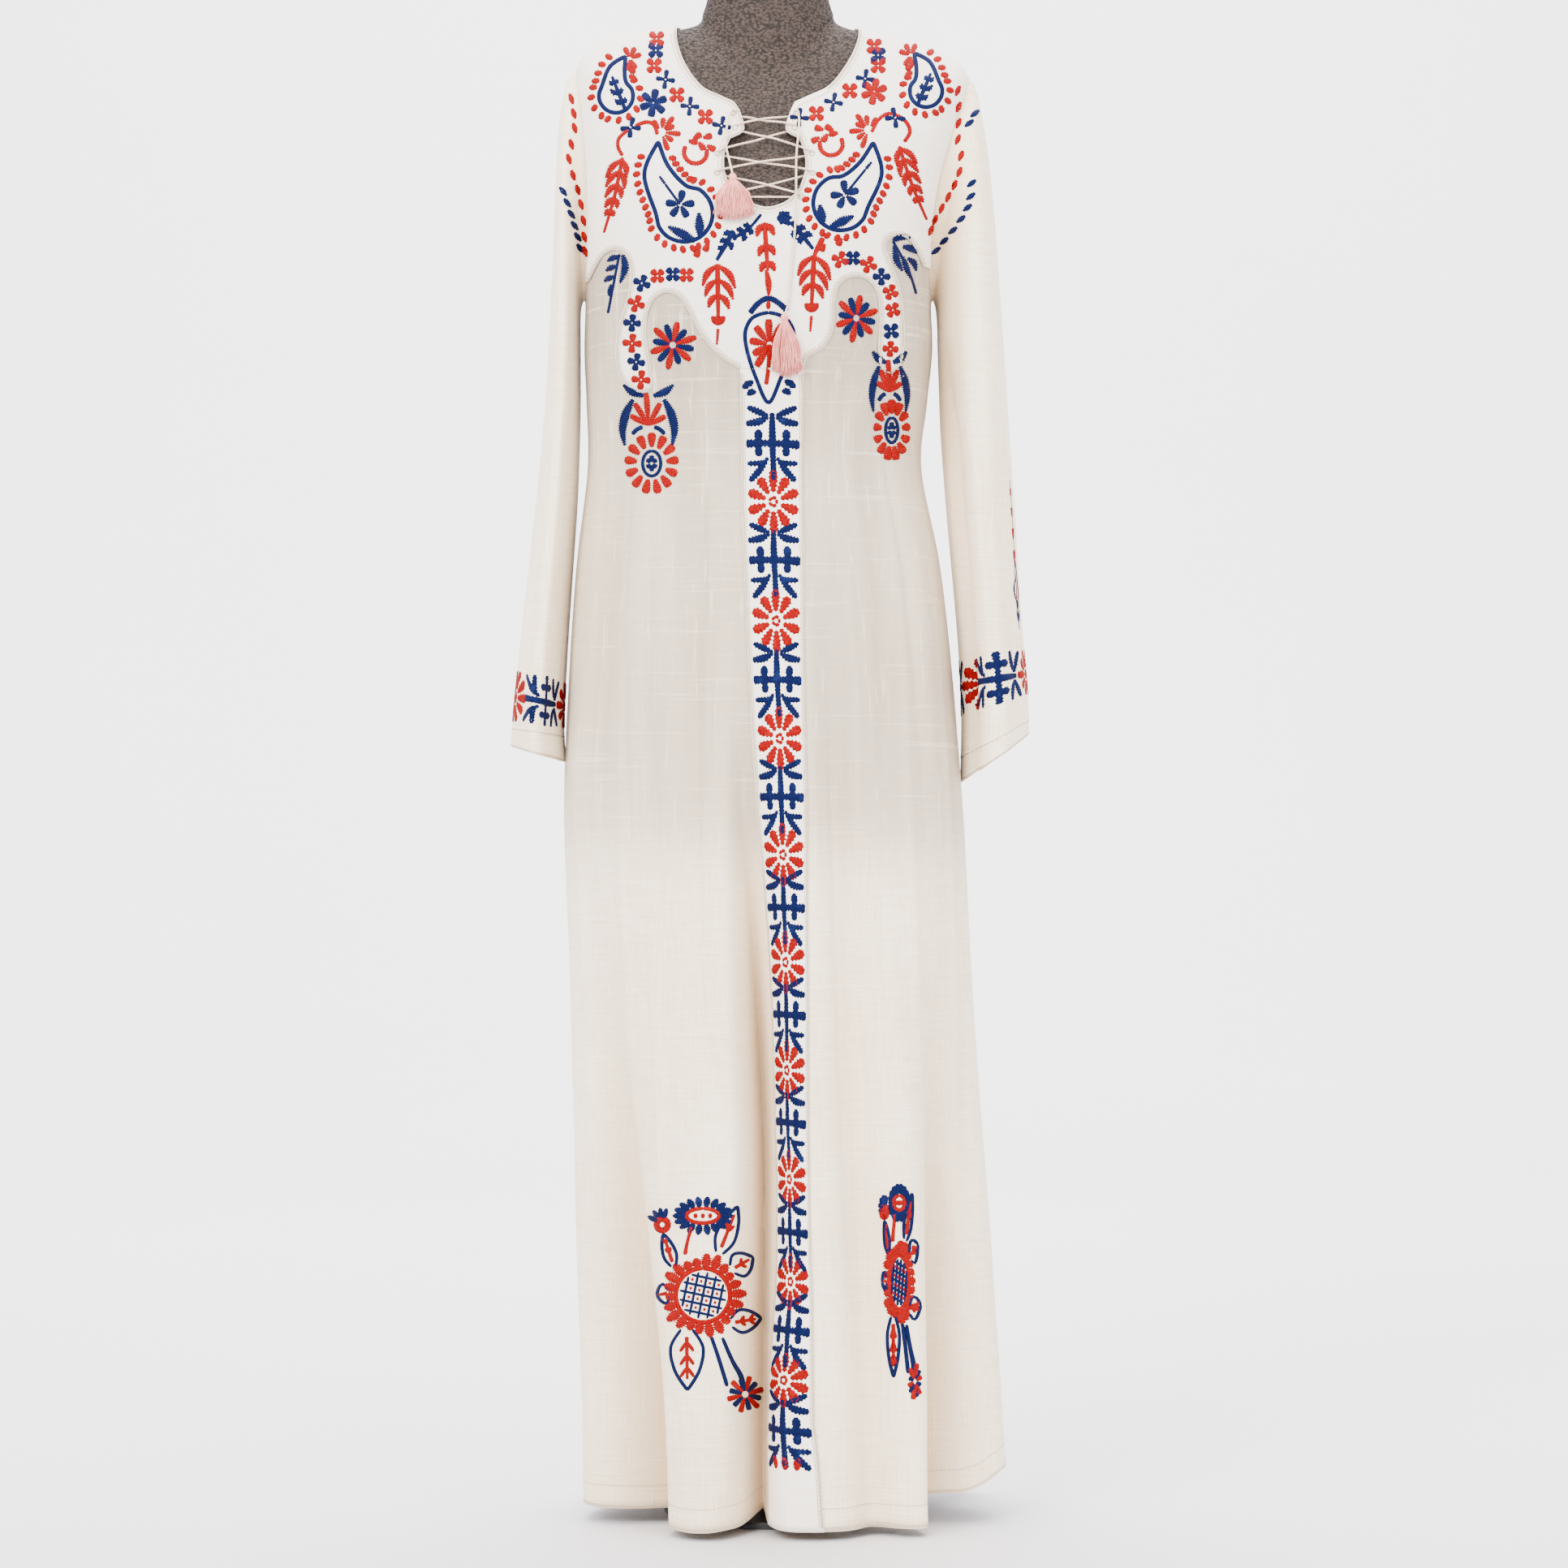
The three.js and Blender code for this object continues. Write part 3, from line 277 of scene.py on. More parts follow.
def face_outwards(piece):
    only(piece)
    bpy.ops.object.mode_set(mode="EDIT")
    bpy.ops.mesh.select_all(action="SELECT")
    bpy.ops.mesh.normals_make_consistent(inside=False)
    bpy.ops.object.mode_set(mode="OBJECT")


def apply_all(piece):
    only(piece)
    for modifier in list(piece.modifiers):
        bpy.ops.object.modifier_apply(modifier=modifier.name)


def sheet_faces(rows, cols, closed=False):
    """Faces of one grid of points, which point outwards on the garment."""
    last = cols if closed else cols - 1
    r, c = np.meshgrid(np.arange(rows - 1), np.arange(last), indexing="ij")
    a = r * cols + c
    b = r * cols + (c + 1) % cols
    return np.stack([a, b, b + cols, a + cols], axis=-1).reshape(-1, 4)


def cloth_wall(name, outer, inner, closed=False):
    """A closed wall of cloth between two grids of points, the first one facing out."""
    rows, cols = outer.shape[:2]
    size = rows * cols
    out_faces = sheet_faces(rows, cols, closed)
    faces = [tuple(f) for f in out_faces] + [tuple(f[::-1] + size) for f in out_faces]
    last = cols if closed else cols - 1
    for c in range(last):
        a, b = c, (c + 1) % cols
        faces.append((a, a + size, b + size, b))
        a, b = (rows - 1) * cols + c, (rows - 1) * cols + (c + 1) % cols
        faces.append((a, b, b + size, a + size))
    if not closed:
        for r in range(rows - 1):
            a, b = r * cols, (r + 1) * cols
            faces.append((a, b, b + size, a + size))
            a, b = a + cols - 1, b + cols - 1
            faces.append((a, a + size, b + size, b))
    return mesh_piece(name, np.concatenate([outer.reshape(-1, 3), inner.reshape(-1, 3)]), faces)


def cutter(name, outline, y_from, y_to):
    """A prism on an outline of x and z, made from a face that is extruded."""
    area = sum(x0 * z1 - x1 * z0 for (x0, z0), (x1, z1) in zip(outline, outline[1:] + outline[:1]))
    if area > 0:
        outline = outline[::-1]
    count = len(outline)
    points = [(x, y, z) for y in (y_from, y_to) for x, z in outline]
    faces = [tuple(range(count))[::-1], tuple(range(count, 2 * count))]
    faces += [(k, (k + 1) % count, (k + 1) % count + count, k + count) for k in range(count)]
    piece = mesh_piece(name, points, faces, False)
    face_outwards(piece)
    return piece


def cut(piece, tool, operation):
    modifier = piece.modifiers.new("cut", "BOOLEAN")
    modifier.operation, modifier.object, modifier.solver = operation, tool, "EXACT"
    apply_all(piece)
    bpy.data.objects.remove(tool)


def rounded(points, pieces):
    """A smooth line through a few points, its ends kept."""
    points = np.asarray(points, float)
    step = np.linalg.norm(np.diff(points, axis=0), axis=1)
    along = np.concatenate([[0], np.cumsum(np.sqrt(step))])
    places = np.interp(np.linspace(0, along[-1], pieces + 1), along, np.arange(len(points)))
    return between(points, places)


def drawn(points, pieces):
    """The same line as a list, for an outline."""
    return [tuple(p) for p in rounded(points, pieces)]


# Camera, light and floor

def add_camera():
    bpy.ops.object.camera_add(
        location=(CAMERA_X * MM, CAMERA_Y * MM, CAMERA_Z * MM), rotation=(math.radians(90), 0, 0)
    )
    camera = bpy.context.object
    camera.data.sensor_width = SENSOR
    camera.data.lens = FOCAL_PIXELS / PHOTO_SIZE * SENSOR
    camera.data.clip_end = 50
    bpy.context.scene.camera = camera


def add_light(name, place, aim, size, power):
    bpy.ops.object.light_add(type="AREA", location=place)
    lamp = bpy.context.object
    lamp.name = name
    lamp.data.shape = "RECTANGLE"
    lamp.data.size, lamp.data.size_y = size
    lamp.data.energy = power
    lamp.rotation_euler = (Vector(aim) - Vector(place)).to_track_quat("-Z", "Y").to_euler()


def sweep(size, back, height, bend):
    """A pale studio floor that bends up into a backdrop behind the dress."""
    bpy.ops.object.select_all(action="DESELECT")
    bpy.ops.mesh.primitive_plane_add(size=1, location=(0, 0, 0))
    floor = bpy.context.object
    floor.name = "studio_floor"
    bpy.ops.object.mode_set(mode="EDIT")
    bpy.ops.mesh.select_all(action="SELECT")
    bpy.ops.transform.resize(value=(size, back + 6, 1))
    bpy.ops.transform.translate(value=(0, back - (back + 6) / 2, 0))
    steps = 10
    mesh = bmesh.from_edit_mesh(floor.data)
    for edge in mesh.edges:
        edge.select_set(all(v.co.y > back - 0.01 for v in edge.verts))
    bmesh.update_edit_mesh(floor.data)
    turned = 0
    for k in range(1, steps + 1):
        middle = math.pi / 2 * (k - 0.5) / steps
        length = bend * math.pi / 2 / steps
        bpy.ops.mesh.extrude_region_move(
            TRANSFORM_OT_translate={"value": (0, math.cos(middle) * length, math.sin(middle) * length)}
        )
        turned += length
    bpy.ops.mesh.extrude_region_move(TRANSFORM_OT_translate={"value": (0, 0, height)})
    bpy.ops.mesh.select_all(action="SELECT")
    bpy.ops.mesh.normals_make_consistent(inside=False)
    bpy.ops.object.mode_set(mode="OBJECT")
    bpy.ops.object.shade_smooth()
    bpy.ops.object.transform_apply(location=True, rotation=True, scale=True)
    return floor


add_camera()
floor = sweep(16, 3.0, 6, 1.6)
add_light("key", (-2.4, -3.6, 3.2), (0, 0, 0.75), (2.6, 2.6), 600)
add_light("fill", (3.2, -3.4, 2.2), (0, 0, 0.7), (3.0, 3.0), 345)
add_light("top", (0, 0.4, 4.2), (0, 0, 0.6), (4.0, 4.0), 300)
add_light("backdrop", (0, 1.6, 4.4), (0, 4.6, 1.6), (5.0, 2.0), 340)


# Lace and tassels

BEHIND = -LACE_RADIUS - 0.75
AHEAD = YOKE_OUTSIDE + LACE_RADIUS + 0.75
# sides of the cord's tube, length of one turn of its two plies, step along its route
CORD_SIDES, CORD_LAY, CORD_STEP = 10, 3.4, 0.7

# height, x on the left and x on the right
EYELETS = [
    (1294, -34, 23.5), (1279, -32.5, 21.5), (1253, -48.5, 37.5), (1234, -48.5, 37.5), (1211.5, -37, 27),
]


def plain_point(x, z, out):
    """A point off the front without the finest creases, where the lace lies in the solids."""
    angle, row = place_at(x, z)
    return body_point(angle, row, out, False)


class Eyelet:
    def __init__(self, level, side):
        self.z, left, right = EYELETS[level]
        self.x = left if side < 0 else right
        self.foot = plain_point(self.x, self.z, 0)
        self.out = plain_point(self.x, self.z, 1) - self.foot
        self.out /= np.linalg.norm(self.out)


def lead_off(here, there, front):
    """The lace's first few millimetres from one eyelet towards another."""
    away = there.foot - here.foot
    away = away - here.out * (away @ here.out)
    away /= np.linalg.norm(away)
    steps = [(0, 0), (0.7, BEHIND * 0.72), (2.6, BEHIND), (6, BEHIND)]
    if front:
        steps = [(0, YOKE_OUTSIDE), (0.7, AHEAD - 0.5), (2.6, AHEAD), (6, AHEAD - 0.1)]
    return [here.foot + away * along + here.out * up for along, up in steps]


def strand(start, end, over):
    """One crossing of the slit, from behind one eyelet to the front of the next."""
    heights = (0.2, 3.2, 4.2) if over else (-0.4, 0.2, 3.2)
    middle = [
        plain_point(start.x + (end.x - start.x) * part, start.z + (end.z - start.z) * part, out)
        for part, out in zip((0.27, 0.5, 0.75), heights)
    ]
    return lead_off(start, end, False) + middle + lead_off(end, start, True)[::-1]


def lacing_route():
    """Down through every level, along the slit's foot, and up again over itself."""
    foot = len(EYELETS) - 1
    start = Eyelet(0, -1)
    points = [start.foot + start.out * (AHEAD + 0.9), start.foot + start.out * YOKE_OUTSIDE]
    side = -1
    for level in range(foot):
        points += strand(Eyelet(level, side), Eyelet(level + 1, -side), False)
        side = -side
    last, across = Eyelet(foot, side), Eyelet(foot, -side)
    points += lead_off(last, across, False)
    points.append(plain_point((last.x + across.x) / 2, last.z, -1.4))
    points += lead_off(across, last, False)[::-1]
    side = -side
    for level in range(foot, 0, -1):
        points += strand(Eyelet(level - 1, -side), Eyelet(level, side), True)[::-1]
        side = -side
    end = Eyelet(0, side)
    points += [end.foot + end.out * YOKE_OUTSIDE, end.foot + end.out * (AHEAD + 0.9)]
    kept = [points[0]]
    for p in points[1:]:
        if np.linalg.norm(p - kept[-1]) > 0.05:
            kept.append(p)
    return np.array(kept)


def even_steps(points, step):
    """The same route as evenly spaced points on a smooth line."""
    points = np.asarray(points, float)
    fine = between(points, np.linspace(0, len(points) - 1, 40 * len(points)))
    along = run_of(fine)
    count = max(int(round(along[-1] / step)), 4)
    return picked(fine, along, np.linspace(0, along[-1], count + 1))


def twisted_cord(name, route):
    """A two-ply cord along a route, its ends closed."""
    sides = CORD_SIDES
    route = even_steps(route, CORD_STEP)
    tangent = unit_long(np.gradient(route, axis=0))
    across = np.array([0.31, 0.17, 0.94])
    points = []
    for i, (p, t) in enumerate(zip(route, tangent)):
        across = across - t * (across @ t)
        across /= np.linalg.norm(across)
        third = np.cross(t, across)
        turn = 2 * np.pi * np.arange(sides) / sides
        ply = 1 + 0.13 * np.cos(2 * (turn - 2 * np.pi * i * CORD_STEP / CORD_LAY / 2))
        end = min(i, len(route) - 1 - i)
        r = LACE_RADIUS * 0.92 * (0.75 if end == 0 else 1) * ply[:, None]
        points.append(p + r * (np.cos(turn)[:, None] * across + np.sin(turn)[:, None] * third))
    count = len(points)
    points = np.concatenate(points + [route[:1], route[-1:]])
    faces = []
    for i in range(count - 1):
        for k in range(sides):
            a, b = i * sides + k, i * sides + (k + 1) % sides
            faces.append((a, b, b + sides, a + sides))
    first, last, top = count * sides, count * sides + 1, (count - 1) * sides
    for k in range(sides):
        faces.append((first, (k + 1) % sides, k))
        faces.append((last, top + k, top + (k + 1) % sides))
    return mesh_piece(name, points, faces), route


LEFT_END = [
    (-34, 1294, 6.8), (-37.5, 1289, 6.6), (-40.5, 1272, 6.8), (-40.5, 1256, 7.6), (-37, 1240, 8.4),
    (-34.5, 1229, 8.8),
]
RIGHT_END = [
    (23.5, 1294, 6.8), (25.5, 1289, 6.6), (25.5, 1272, 7.2), (23, 1246, 7.6), (22.5, 1213, 7.6),
    (22, 1188, 5.2), (19.5, 1154, 4.6), (16, 1116, 4.8), (12.5, 1103, 6),
]
# x, z and distance off the cloth of the head, length, spread and lean of the strands
LEFT_TASSEL = (-34.2, 1224.6, 9.2, 41, 36, 2)
RIGHT_TASSEL = (12, 1099, 7.6, 55, 27, 2.5)
TASSEL_STRANDS = 210
HEAD_RADIUS = 3.6


def lace_end(name, rows):
    points = [plain_point(*r) for r in rows]
    along = points[1] - points[0]
    points[0] = points[0] + along / np.linalg.norm(along) * (LACE_RADIUS + SEAM_GAP)
    return twisted_cord(name, points)


def tassel(name, x, z, out, length, spread, lean, seed):
    """Loose crimped threads that fan out from a bound head."""
    rng = np.random.default_rng(seed)
    middle = plain_point(x, z, out)
    stations, sides = 8, 4
    part = np.linspace(0, 1, stations)
    count = (TASSEL_STRANDS, 1)
    across = (np.arange(TASSEL_STRANDS)[:, None] + 0.5) / TASSEL_STRANDS - 0.5 + rng.normal(0, 0.012, count)
    layer = rng.uniform(-1, 1, count)
    reach = length * (0.97 - 0.25 * across**2 - 0.09 * rng.random(count))
    bow = 1 - 0.12 * np.abs(across) * part
    wave = rng.uniform(0.5, 1.5, count) * np.sin(part * rng.uniform(9, 16, count) + rng.uniform(0, 6, count))
    fan = spread * across * np.interp(part, [0, 0.42, 1], [0.06, 0.8, 1.0]) + wave * part
    lift = out - layer * np.interp(part, [0, 0.3, 1], [1.4, 2.3, 2.5])
    crimp = np.cos(part * rng.uniform(8, 14, count) + rng.uniform(0, 6, count))
    lift = lift + rng.uniform(0.2, 0.7, count) * crimp * part
    routes = plain_point(x + lean * part + fan, z - reach * part * bow, lift)
    routes[:, 0] = middle + np.concatenate([3.0 * across, layer - 0.4, np.full(count, -1.0)], axis=1)
    tangent = unit_long(np.gradient(routes, axis=1))
    side = unit_long(np.cross(tangent, np.array([0.0, 1.0, 0.0])))
    third = np.cross(tangent, side)
    radius = rng.uniform(0.3, 0.42, count) * np.interp(part, [0, 0.15, 0.9, 1], [0.8, 1, 0.95, 0.5])
    turn = 2 * np.pi * np.arange(sides)[:, None] / sides
    ring = np.cos(turn) * side[:, :, None] + np.sin(turn) * third[:, :, None]
    points = (routes[:, :, None] + radius[:, :, None, None] * ring).reshape(-1, 3)
    faces = []
    for start in range(0, len(points), stations * sides):
        for i in range(stations - 1):
            for s in range(sides):
                a, b = start + i * sides + s, start + i * sides + (s + 1) % sides
                faces.append((a, b, b + sides, a + sides))
        faces.append(tuple(start + s for s in range(sides))[::-1])
        faces.append(tuple(start + (stations - 1) * sides + s for s in range(sides)))
    fringe = mesh_piece(name, points, faces)

    bpy.ops.object.select_all(action="DESELECT")
    bpy.ops.mesh.primitive_uv_sphere_add(segments=28, ring_count=18, radius=HEAD_RADIUS * MM)
    head = bpy.context.object
    head.name = name + "_head"
    bpy.ops.object.mode_set(mode="EDIT")
    bpy.ops.mesh.select_all(action="SELECT")
    bpy.ops.transform.resize(value=(1, 0.85, 1.15))
    bpy.ops.object.mode_set(mode="OBJECT")
    for v in head.data.vertices:
        turn = math.atan2(v.co.y, v.co.x)
        thread = 1 + 0.05 * math.cos(9 * turn + v.co.z / MM * 0.5)
        wrap = 1 - 0.16 * math.exp(-(((v.co.z / MM + 2.1) / 0.8) ** 2))
        v.co.x, v.co.y = v.co.x * thread * wrap, v.co.y * thread * wrap
        v.co = v.co + Vector(middle * MM)
    bpy.ops.object.shade_smooth()
    return fringe, head


lacing, _ = twisted_cord("lacing_cord", lacing_route())
left_end, left_route = lace_end("lace_cord_left", LEFT_END)
right_end, right_route = lace_end("lace_cord_right", RIGHT_END)
left_fringe, left_head = tassel("tassel_fringe_left", *LEFT_TASSEL, 11)
right_fringe, right_head = tassel("tassel_fringe_right", *RIGHT_TASSEL, 12)
tassels = [left_fringe, left_head, right_fringe, right_head]

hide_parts("lacing")
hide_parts("lace_end_left")
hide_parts("lace_end_right")
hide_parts("tassel_left")
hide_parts("tassel_right")
for end, route, ends in (
    (left_end, left_route, [left_fringe, left_head]), (right_end, right_route, [right_fringe, right_head])
):
    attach(end, "root")
    length = float(np.linalg.norm(np.diff(route, axis=0), axis=1).sum()) * MM
    tuple(route[0] * MM)
    [tuple(p) for p in route * MM]
    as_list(ends)
for piece in [lacing] + tassels:
    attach(piece, "root")


# Body of the dress

def reach_of(row):
    """Degrees from a panel's middle to its side seam, or to the armhole, at each row."""
    away = (np.asarray(row, float) - ARMHOLE_ROW) / ARMHOLE_REACH
    hole = ARMHOLE_ANGLE * np.sqrt(np.clip(1 - away**2, 0, 1))
    gap = np.degrees(0.5 * SEAM_GAP / between(RINGS, row)[..., 5])
    return 90 - gap - hole


def panel_rows(first, last, step):
    """Rows of a fine grid, with closer ones where the armhole turns."""
    rows = list(np.arange(first, last + 1e-6, step))
    for k in range(25):
        rows.append(ARMHOLE_ROW - ARMHOLE_REACH * math.cos(math.pi * k / 24))
    rows = sorted(r for r in rows if first <= r <= last)
    kept = [rows[0]]
    for r in rows[1:]:
        if r - kept[-1] > 0.02:
            kept.append(r)
    return np.array(kept)


def panel(name, centre, angles, rows, inside, outside):
    row = rows[:, None]
    angle = centre + angles[None, :] / 90 * reach_of(rows)[:, None]
    return cloth_wall(name, body_point(angle, row, outside), body_point(angle, row, inside))


def close_columns(count, closer, spread, extra):
    """Angles from -90 to 90, with more of them near one place."""
    fine = np.linspace(-90, 90, 3601)
    weight = 1 + extra * np.exp(-0.5 * ((fine - closer) / spread) ** 2)
    share = np.concatenate([[0], np.cumsum(0.5 * (weight[1:] + weight[:-1]))])
    return np.interp(np.linspace(0, share[-1], count), share, fine)


NECKLINE_LEFT = [(-88, 1388), (-87, 1368), (-79, 1344), (-64, 1322), (-46, 1312), (-34, 1306)]
SLIT_LEFT = [(-29, 1298), (-24.5, 1277), (-37, 1268), (-42, 1254), (-42, 1236), (-37, 1221)]
SLIT_FOOT = [(-37, 1221), (-22, 1207.5), (-4, 1201), (14, 1206.5), (26, 1219)]
SLIT_RIGHT = [(26, 1219), (31, 1235), (31, 1251), (26, 1268), (13.5, 1277), (18.5, 1298)]
NECKLINE_RIGHT = [(22, 1306), (36, 1313), (54, 1323), (70, 1345), (80, 1368), (82, 1388)]
BACK_NECKLINE = [(-88, 1388), (-62, 1376), (-3, 1369), (56, 1376), (82, 1388)]


def neck_outline():
    """The neckline and the keyhole slit seen from the front."""
    slit = drawn(SLIT_LEFT[:3], 8)[:-1] + drawn(SLIT_LEFT[2:], 12)
    right = drawn(SLIT_RIGHT[:4], 12)[:-1] + drawn(SLIT_RIGHT[3:], 8)
    return drawn(NECKLINE_LEFT, 24) + slit[:-1] + drawn(SLIT_FOOT, 24) + right[1:] + drawn(NECKLINE_RIGHT, 24)


# how far the cutting prisms reach: above the shoulders, out to front or back, past the middle
ABOVE, FAR, PAST = 1500, 260, 20


def neck_cutter():
    return cutter("neck_cutter", [(-88, ABOVE)] + neck_outline() + [(82, ABOVE)], -FAR, 0)


YOKE_LEFT = [
    (-28, 1054), (-42, 1062), (-55, 1074), (-66, 1090), (-75, 1108), (-84, 1120), (-95, 1123.5),
    (-106, 1118), (-112, 1104), (-113, 1084), (-109, 1056), (-108, 1039), (-118, 1035), (-129, 1040),
    (-138, 1051), (-142, 1067), (-141, 1088), (-136, 1107), (-130, 1126), (-128, 1146), (-132, 1160),
    (-142, 1166.5), (-153, 1164), (-160, 1156), (-168, 1144),
]
YOKE_RIGHT = [
    (30, 1054), (33, 1064), (46, 1072), (54, 1083), (57.5, 1097), (58, 1117), (62, 1130), (70, 1136.5),
    (80, 1138.5), (91, 1134), (97.5, 1122), (99, 1101), (98, 1076), (100, 1060), (109, 1054),
    (119, 1063), (122.5, 1085), (121, 1116), (116.5, 1137), (109, 1155), (104.5, 1168), (108, 1176),
    (117, 1179.5), (127, 1176.5), (134, 1167.5), (140, 1156),
]

BAND_EDGES = np.array([
    [1054, -27.7, 29.7], [933, -26.3, 29.7], [874, -24, 30.4], [771, -19.5, 31], [654, -12.5, 33.2],
    [544, -3.3, 33.9], [479, 0.3, 34.6], [398, 2.5, 34.6], [325, 4.7, 35.3], [252, 4.7, 36.8],
    [216, 3.2, 38.3], [143, -1.8, 39], [107, -2.6, 39.7], [71, -3.3, 44], [-5, -2.6, 49],
])

FRONT_COLUMNS = close_columns(250, -7, 10, 2.2)
BACK_COLUMNS = close_columns(200, 0, 40, 0.01)
BODY_ROWS = panel_rows(0, NECK_ROW, 0.14)


def front_panel():
    piece = panel("front_cloth", 0, FRONT_COLUMNS, BODY_ROWS, 0, CLOTH)
    cut(piece, neck_cutter(), "DIFFERENCE")
    return piece


def back_panel():
    piece = panel("back_cloth", 180, BACK_COLUMNS, BODY_ROWS, 0, CLOTH)
    around = [(-88, ABOVE)] + drawn(BACK_NECKLINE, 30) + [(82, ABOVE)]
    cut(piece, cutter("back_cutter", around, 0, FAR), "DIFFERENCE")
    return piece


def yoke():
    rows = panel_rows(WAIST_ROW, NECK_ROW, 0.12)
    piece = panel("yoke_cloth", 0, close_columns(230, 0, 60, 0.4), rows, YOKE_INSIDE, YOKE_OUTSIDE)
    around = drawn(YOKE_LEFT, 120) + [(-230, 1138), (-230, ABOVE), (230, ABOVE), (230, 1150)]
    around += drawn(YOKE_RIGHT, 120)[::-1]
    cut(piece, cutter("yoke_cutter", around, -FAR, PAST), "INTERSECT")
    cut(piece, neck_cutter(), "DIFFERENCE")
    return piece


def centre_band():
    rows = np.arange(0, ARMPIT_ROW + 0.01, 0.1)
    angles = np.linspace(-16, 22, 110)
    row, angle = rows[:, None], angles[None, :]
    piece = cloth_wall(
        "band_cloth", body_point(angle, row, YOKE_OUTSIDE), body_point(angle, row, YOKE_INSIDE)
    )
    around = drawn(BAND_EDGES[:, [1, 0]], 60) + drawn(BAND_EDGES[:, [2, 0]], 60)[::-1]
    cut(piece, cutter("band_cutter", around, -FAR, PAST), "INTERSECT")
    top = 1054 - SEAM_GAP
    above = [(-60, top), (90, top), (90, 1300), (-60, 1300)]
    cut(piece, cutter("top_cutter", above, -FAR, PAST), "DIFFERENCE")
    return piece


# Sleeves

# outer and inner edge of each ring in x and z, the middle's y, and the reach to front and back
LEFT_SLEEVE = np.array([
    [184, 1346, 176.5, 1132, 0, 39], [191, 1332, 179, 1124, 0, 44], [197, 1298, 180, 1110, 1, 52],
    [200, 1250, 180, 1090, 2, 60], [202, 1193, 180, 1065, 3, 66], [205, 1128, 180, 1033, 4, 69],
    [209, 1053, 181, 988, 4, 70], [215, 978, 183, 938, 4, 70], [223, 903, 187, 878, 3, 70],
    [231, 833, 191, 818, 2, 71], [237, 773, 194, 763, 0, 72], [240.5, 736, 195, 730, -1, 73],
    [242, 714, 193, 699, -2, 73],
], float)
RIGHT_SLEEVE = np.array([
    [187, 1336, 152.5, 1132, 0, 39], [193, 1319, 155, 1124, 0, 45], [201, 1273, 156.5, 1108, 0, 54],
    [207, 1216, 157, 1083, -1, 63], [212, 1148, 158, 1050, -2, 69], [217, 1073, 159.5, 1008, -3, 72],
    [222, 998, 163, 958, -4, 73], [227, 923, 168, 898, -5, 73], [231, 853, 173.5, 838, -5, 74],
    [236, 793, 177.5, 783, -4, 75], [239, 756, 179, 733, -3, 76], [240, 726, 178, 680, -2, 77],
], float)
# degrees round the sleeve, depth, width, and the rows where it begins and is full
LEFT_FOLDS = [[128, -9, 17, 2, 6], [62, -6, 15, 5, 9], [238, -8, 17, 2, 6], [296, -6, 15, 4, 8]]
RIGHT_FOLDS = [[144, -24, 12, 2.5, 6], [60, -6, 15, 5, 9], [238, -8, 17, 2, 6], [296, -6, 15, 4, 8]]
# finer ones: degrees at the top and bottom, depth, width, first and last row
SLEEVE_CREASES = [
    [20, 28, -1.4, 5, 2, 9], [44, 40, 1.4, 5, 4, 12], [84, 92, -1.6, 6, 3, 11], [108, 102, 1.5, 6, 2, 10],
    [166, 160, 1.2, 5, 5, 12], [205, 214, -1.4, 6, 3, 11], [262, 256, 1.5, 6, 2, 10],
    [322, 330, -1.4, 6, 3, 11], [345, 338, 1.2, 5, 5, 12],
]


def armhole_edge(side, turn, out):
    """Where the sleeve's ring meets the panels, moved out from their inner face."""
    turn = np.asarray(turn, float)
    row = ARMHOLE_ROW + ARMHOLE_REACH * np.cos(np.radians(turn))
    angle = side * (90 - ARMHOLE_ANGLE * np.sin(np.radians(turn)))
    return body_point(angle, row, np.full(turn.shape, out, float), creased=False)


def sleeve_point(side, rows, folds, turn, row):
    """The sleeve's inner face: turn 0 is its outer edge and 90 its front."""
    turn, row = np.broadcast_arrays(np.asarray(turn, float), np.asarray(row, float))
    r = between(rows, row)
    c, s = np.cos(np.radians(turn))[..., None], np.sin(np.radians(turn))
    outer = np.stack([side * r[..., 0], r[..., 4], r[..., 1]], axis=-1)
    inner = np.stack([side * r[..., 2], r[..., 4], r[..., 3]], axis=-1)
    middle = (outer + inner) / 2
    point = middle + (outer - inner) / 2 * c
    point[..., 1] -= r[..., 5] * s
    depth = np.zeros(turn.shape)
    for at, deep, width, begins, full in folds:
        away = turn_to(turn, at) / width
        depth += deep * smooth(begins, full, row) * np.exp(-0.5 * away**2)
    for top, foot, deep, width, first, last in SLEEVE_CREASES:
        part = (row - first) / (last - first)
        away = turn_to(turn, top + (foot - top) * part) / width
        depth += deep * smooth(0, 0.3, part) * smooth(1.15, 0.8, part) * np.exp(-0.5 * away**2)
    return point + unit_long(point - middle) * depth[..., None]


def sleeve_normal(side, rows, folds, turn, row):
    def at(turn, row):
        return sleeve_point(side, rows, folds, turn, row)

    across = at(turn + 0.5, row) - at(turn - 0.5, row)
    along = at(turn, np.minimum(row + 0.02, len(rows) - 1)) - at(turn, np.maximum(row - 0.02, 0))
    return unit_long(side * np.cross(across, along))


